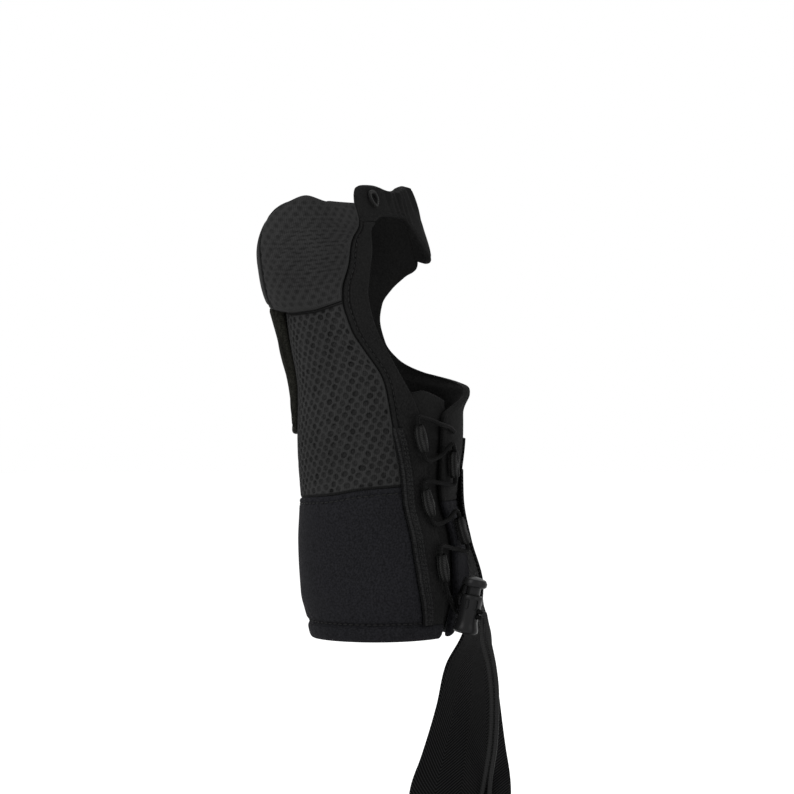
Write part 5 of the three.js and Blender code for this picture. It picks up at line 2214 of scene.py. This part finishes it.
@dataclass
class Stitching:
    """Rows of thread stitches on the shell, each row a line of angles and heights."""

    long: float = 2.3
    pitch: float = 3.0
    radius: float = 0.28
    seam_row: float = 3.0
    seam_turns: Pair = (BACK_SEAM + 3, 231.0)
    seam_proud: float = 0.25
    hem_row: float = 1.7
    hem_turns: Pair = (-72.0, 249.0)
    hem_sunk: float = 0.5
    tape_span: Pair = (CUFF_LOW + 2.5, -5.0)
    tape_sunk: float = 0.1
    tape_thread: Pair = (1.7, 0.36)
    band_turn: float = 4.6
    band_span: Pair = (0.0, 92.0)
    band_sunk: float = 0.2

    def _stitch(self) -> tuple[Array, Array]:
        """One stitch, shaped from a small ball.

        Returns:
            Its points, with its length along +X, and its faces.
        """
        lying = (0, math.pi / 2, 0)
        bpy.ops.mesh.primitive_uv_sphere_add(segments=6, ring_count=5, radius=1.0, rotation=lying)
        ball = bpy.context.object
        apply_place()
        with editing():
            bpy.ops.mesh.select_all(action="SELECT")
            bpy.ops.mesh.quads_convert_to_tris()
        mesh = ball.data
        points = np.empty(len(mesh.vertices) * 3, dtype=np.float32)
        mesh.vertices.foreach_get("co", points)
        faces = np.array([list(face.vertices) for face in mesh.polygons])
        bpy.data.objects.remove(ball, do_unlink=True)
        bpy.data.meshes.remove(mesh)
        return points.reshape(-1, 3), faces

    def sew(self, name: str, rows: Sequence[tuple[Array | float, ...]]) -> None:
        """Sews rows of stitches as one piece.

        Args:
            name: Name of the piece.
            rows: Angles, heights and outward distances of each row's line.
        """
        ball, faces = self._stitch()
        shape = ball * np.array([self.long / 2, self.radius * 1.25, self.radius])
        all_points, all_faces, cloth = [], [], []
        for angle, z, out in rows:
            line = FORM.point(angle, z, out)
            way_out = FORM.point(angle, z, out + 1.0) - line
            run = lengths(line, 0)
            spots = np.arange(self.pitch / 2, run[-1], self.pitch)
            at = along_line(spots, run, line)
            ahead = along_line(spots + 0.4, run, line) - at
            ahead /= np.linalg.norm(ahead, axis=1, keepdims=True) + 1e-12
            up = along_line(spots, run, way_out)
            up -= ahead * (up * ahead).sum(1, keepdims=True)
            up /= np.linalg.norm(up, axis=1, keepdims=True)
            side = np.cross(up, ahead)
            placed = at[:, None] + MM * (
                shape[None, :, :1] * ahead[:, None] + shape[None, :, 1:2] * side[:, None]
                + shape[None, :, 2:] * up[:, None]
            )
            start = sum(len(part) for part in all_points)
            all_points.append(placed.reshape(-1, 3))
            firsts = start + np.arange(len(at)) * len(ball)
            all_faces.append((faces + firsts[:, None, None]).reshape(-1, 3))
            cloth.append(np.tile(shape[:, :2], (len(at), 1)))
        points, faces = np.concatenate(all_points), np.concatenate(all_faces)
        dress(make_object(name, points, [faces], np.concatenate(cloth)), THREAD, Slot.TAPE)

    def build(self) -> None:
        """Sews every row that shows."""
        share = np.linspace(0, 1, 400)
        angle = mix(*self.seam_turns, share)
        cuff_top = (angle, CUFF_SEAM.read("z", angle) - self.seam_row, CLOTH + self.seam_proud)
        hem = (mix(*self.hem_turns, share), CUFF_LOW + self.hem_row, CLOTH - self.hem_sunk)
        self.sew("cuff_stitches", [cuff_top, hem])
        z = mix(*self.tape_span, share)
        tape_out = CLOTH + TAPE_LIFT + TAPE_THICK - self.tape_sunk - SeamTape.sink(z)
        long, radius = self.tape_thread
        short = replace(self, long=long, pitch=TAPE_PITCH, radius=radius)
        short.sew("tape_stitches", [(SeamTape.at(z, row), z, tape_out) for row in TAPE_ROWS])
        z = mix(*self.band_span, share)
        band = (MESH_SEAM.read("angle", z) + self.band_turn, z, BAND_CLOTH - self.band_sunk)
        self.sew("band_stitches", [band])


@dataclass
class Stage:
    """Plain pale floor, soft lights and the camera."""

    floor_z: float = -0.215
    floor_radius: float = 6.0
    floor_tone: tuple[float, ...] = (0.95, 0.95, 0.95, 1)
    floor_glow: float = 0.12
    aim: Triple = (0.00265, -0.00424, 0.0115)
    azimuth: float = -58.0
    distance: float = 1.2
    lens: float = 108.816
    sensor: float = 36.0

    def build(self) -> None:
        """Sets the camera first, then the floor, the sky and the lights."""
        self._camera()
        self._floor()
        self._lights()

    def _back(self) -> Vector:
        """Way from the aim to the camera."""
        turn = math.radians(self.azimuth)
        return Vector((math.sin(turn), -math.cos(turn), 0))

    def _camera(self) -> None:
        """Level camera on the little-finger and palm side."""
        data = bpy.data.cameras.new("camera")
        data.lens = self.lens
        data.sensor_width = self.sensor
        camera = bpy.data.objects.new("camera", data)
        camera.location = Vector(self.aim) + self._back() * self.distance
        camera.rotation_euler = (-self._back()).to_track_quat("-Z", "Y").to_euler()
        bpy.context.scene.collection.objects.link(camera)
        bpy.context.scene.camera = camera

    def _floor(self) -> None:
        """Wide pale floor under the object, and a white sky."""
        bpy.ops.mesh.primitive_circle_add(
            vertices=96, radius=self.floor_radius, fill_type="NGON", location=(0, 0, self.floor_z),
        )
        floor = bpy.context.object
        floor.name = "floor"
        apply_place()
        paint = bpy.data.materials.new("pale_floor")
        paint.use_nodes = True
        shader = paint.node_tree.nodes["Principled BSDF"]
        set_inputs(shader, {
            "Base Color": self.floor_tone, "Roughness": 0.9, "Specular IOR Level": 0.0,
            "Emission Color": WHITE, "Emission Strength": self.floor_glow,
        })
        floor.data.materials.append(paint)
        scene = bpy.context.scene
        scene.view_settings.view_transform = "Standard"
        scene.world = bpy.data.worlds.new("studio")
        scene.world.use_nodes = True
        set_inputs(scene.world.node_tree.nodes["Background"], {"Color": WHITE, "Strength": 1.0})

    def _lights(self) -> None:
        """Large soft lights: a key over the camera's left, a fill on its right and one behind."""
        back = self._back()
        right = Vector((-back.y, back.x, 0))
        lights = (
            ("key", back * 0.9 - right * 0.9 + Vector((0, 0, 0.9)), 0.9, 15.0),
            ("fill", back * 0.8 + right * 1.0 + Vector((0, 0, 0.3)), 0.7, 2.8),
            ("rim", -back * 1.0 - right * 0.4 + Vector((0, 0, 0.8)), 0.8, 1.6),
        )
        for name, place, size, power in lights:
            data = bpy.data.lights.new(name, "AREA")
            data.energy = power
            data.size = size
            lamp = bpy.data.objects.new(name, data)
            lamp.location = place
            lamp.rotation_euler = (-place).to_track_quat("-Z", "Y").to_euler()
            bpy.context.scene.collection.objects.link(lamp)


def main() -> None:
    """Builds the scene and every sub-assembly in order."""
    logging.basicConfig(level=logging.INFO, format="%(name)s: %(message)s")
    Stage().build()
    Effects.build()
    lock, loops = CordLock(), LaceLoops()
    Laces(lock, loops).build()
    lock.build()
    loops.build()
    panels = (
        MeshPanel(
            "mesh_panel", SPACER_MESH, Slot.MESH, step=0.5, sides_tuck=(0.7, 0.5), ends_tuck=(0.5, 0.7),
        ),
        PalmBand(
            "palm_band", BAND_KNIT, Slot.KNIT, thick=BAND_CLOTH, step=0.6, free=(False, True),
            sides_tuck=(0.4, 0.0), ends_tuck=(0.8, 2.6),
        ),
        ForearmCuff(
            "forearm_cuff", CLOSE_KNIT, Slot.KNIT, step=0.9, free=(True, False),
            sides_tuck=(0.0, 0.4), ends_tuck=(0.9, 0.4),
        ),
        BackPanel(
            "back_panel", BAND_KNIT, Slot.KNIT, free=(True, False),
            sides_tuck=(0.0, 0.4), ends_tuck=(0.4, 0.0),
        ),
        LacingTongue("lacing_tongue", BAND_KNIT, Slot.KNIT, thick=2.2, roll=1.0),
        WebStrap(
            "web_strap", BAND_KNIT, Slot.KNIT, thick=BAND_CLOTH, step=0.8, hold=Hold.GATHERED, edge_mark=0.3,
            sides_tuck=(1.8, 0.7),
        ),
        StayPocket(
            "stay_pocket", STAY_BINDING, Slot.TAPE, step=0.7, roll=3.6, hold=None, edge_mark=0.3,
            ends_tuck=(0.0, 3.2),
        ),
        SeamTape("seam_tape", SEAM_BINDING, Slot.TAPE, thick=TAPE_THICK, step=0.5, roll=0.5, hold=None),
        StrapAnchor("strap_anchor", WEBBING, Slot.WEBBING, thick=1.4, step=0.9, roll=0.7),
        UlnarDome(
            "ulnar_pad", SPACER_MESH, Slot.MESH, step=0.65, roll=2.0, hold=None,
            sides_tuck=(1.1, 1.3), ends_tuck=(0.7, 0.0),
        ),
    )
    for panel in panels:
        panel.build()
    CuffHem().build()
    WebLoop().build()
    PullStrap().build()
    Stitching().build()


if __name__ == "__main__":
    main()
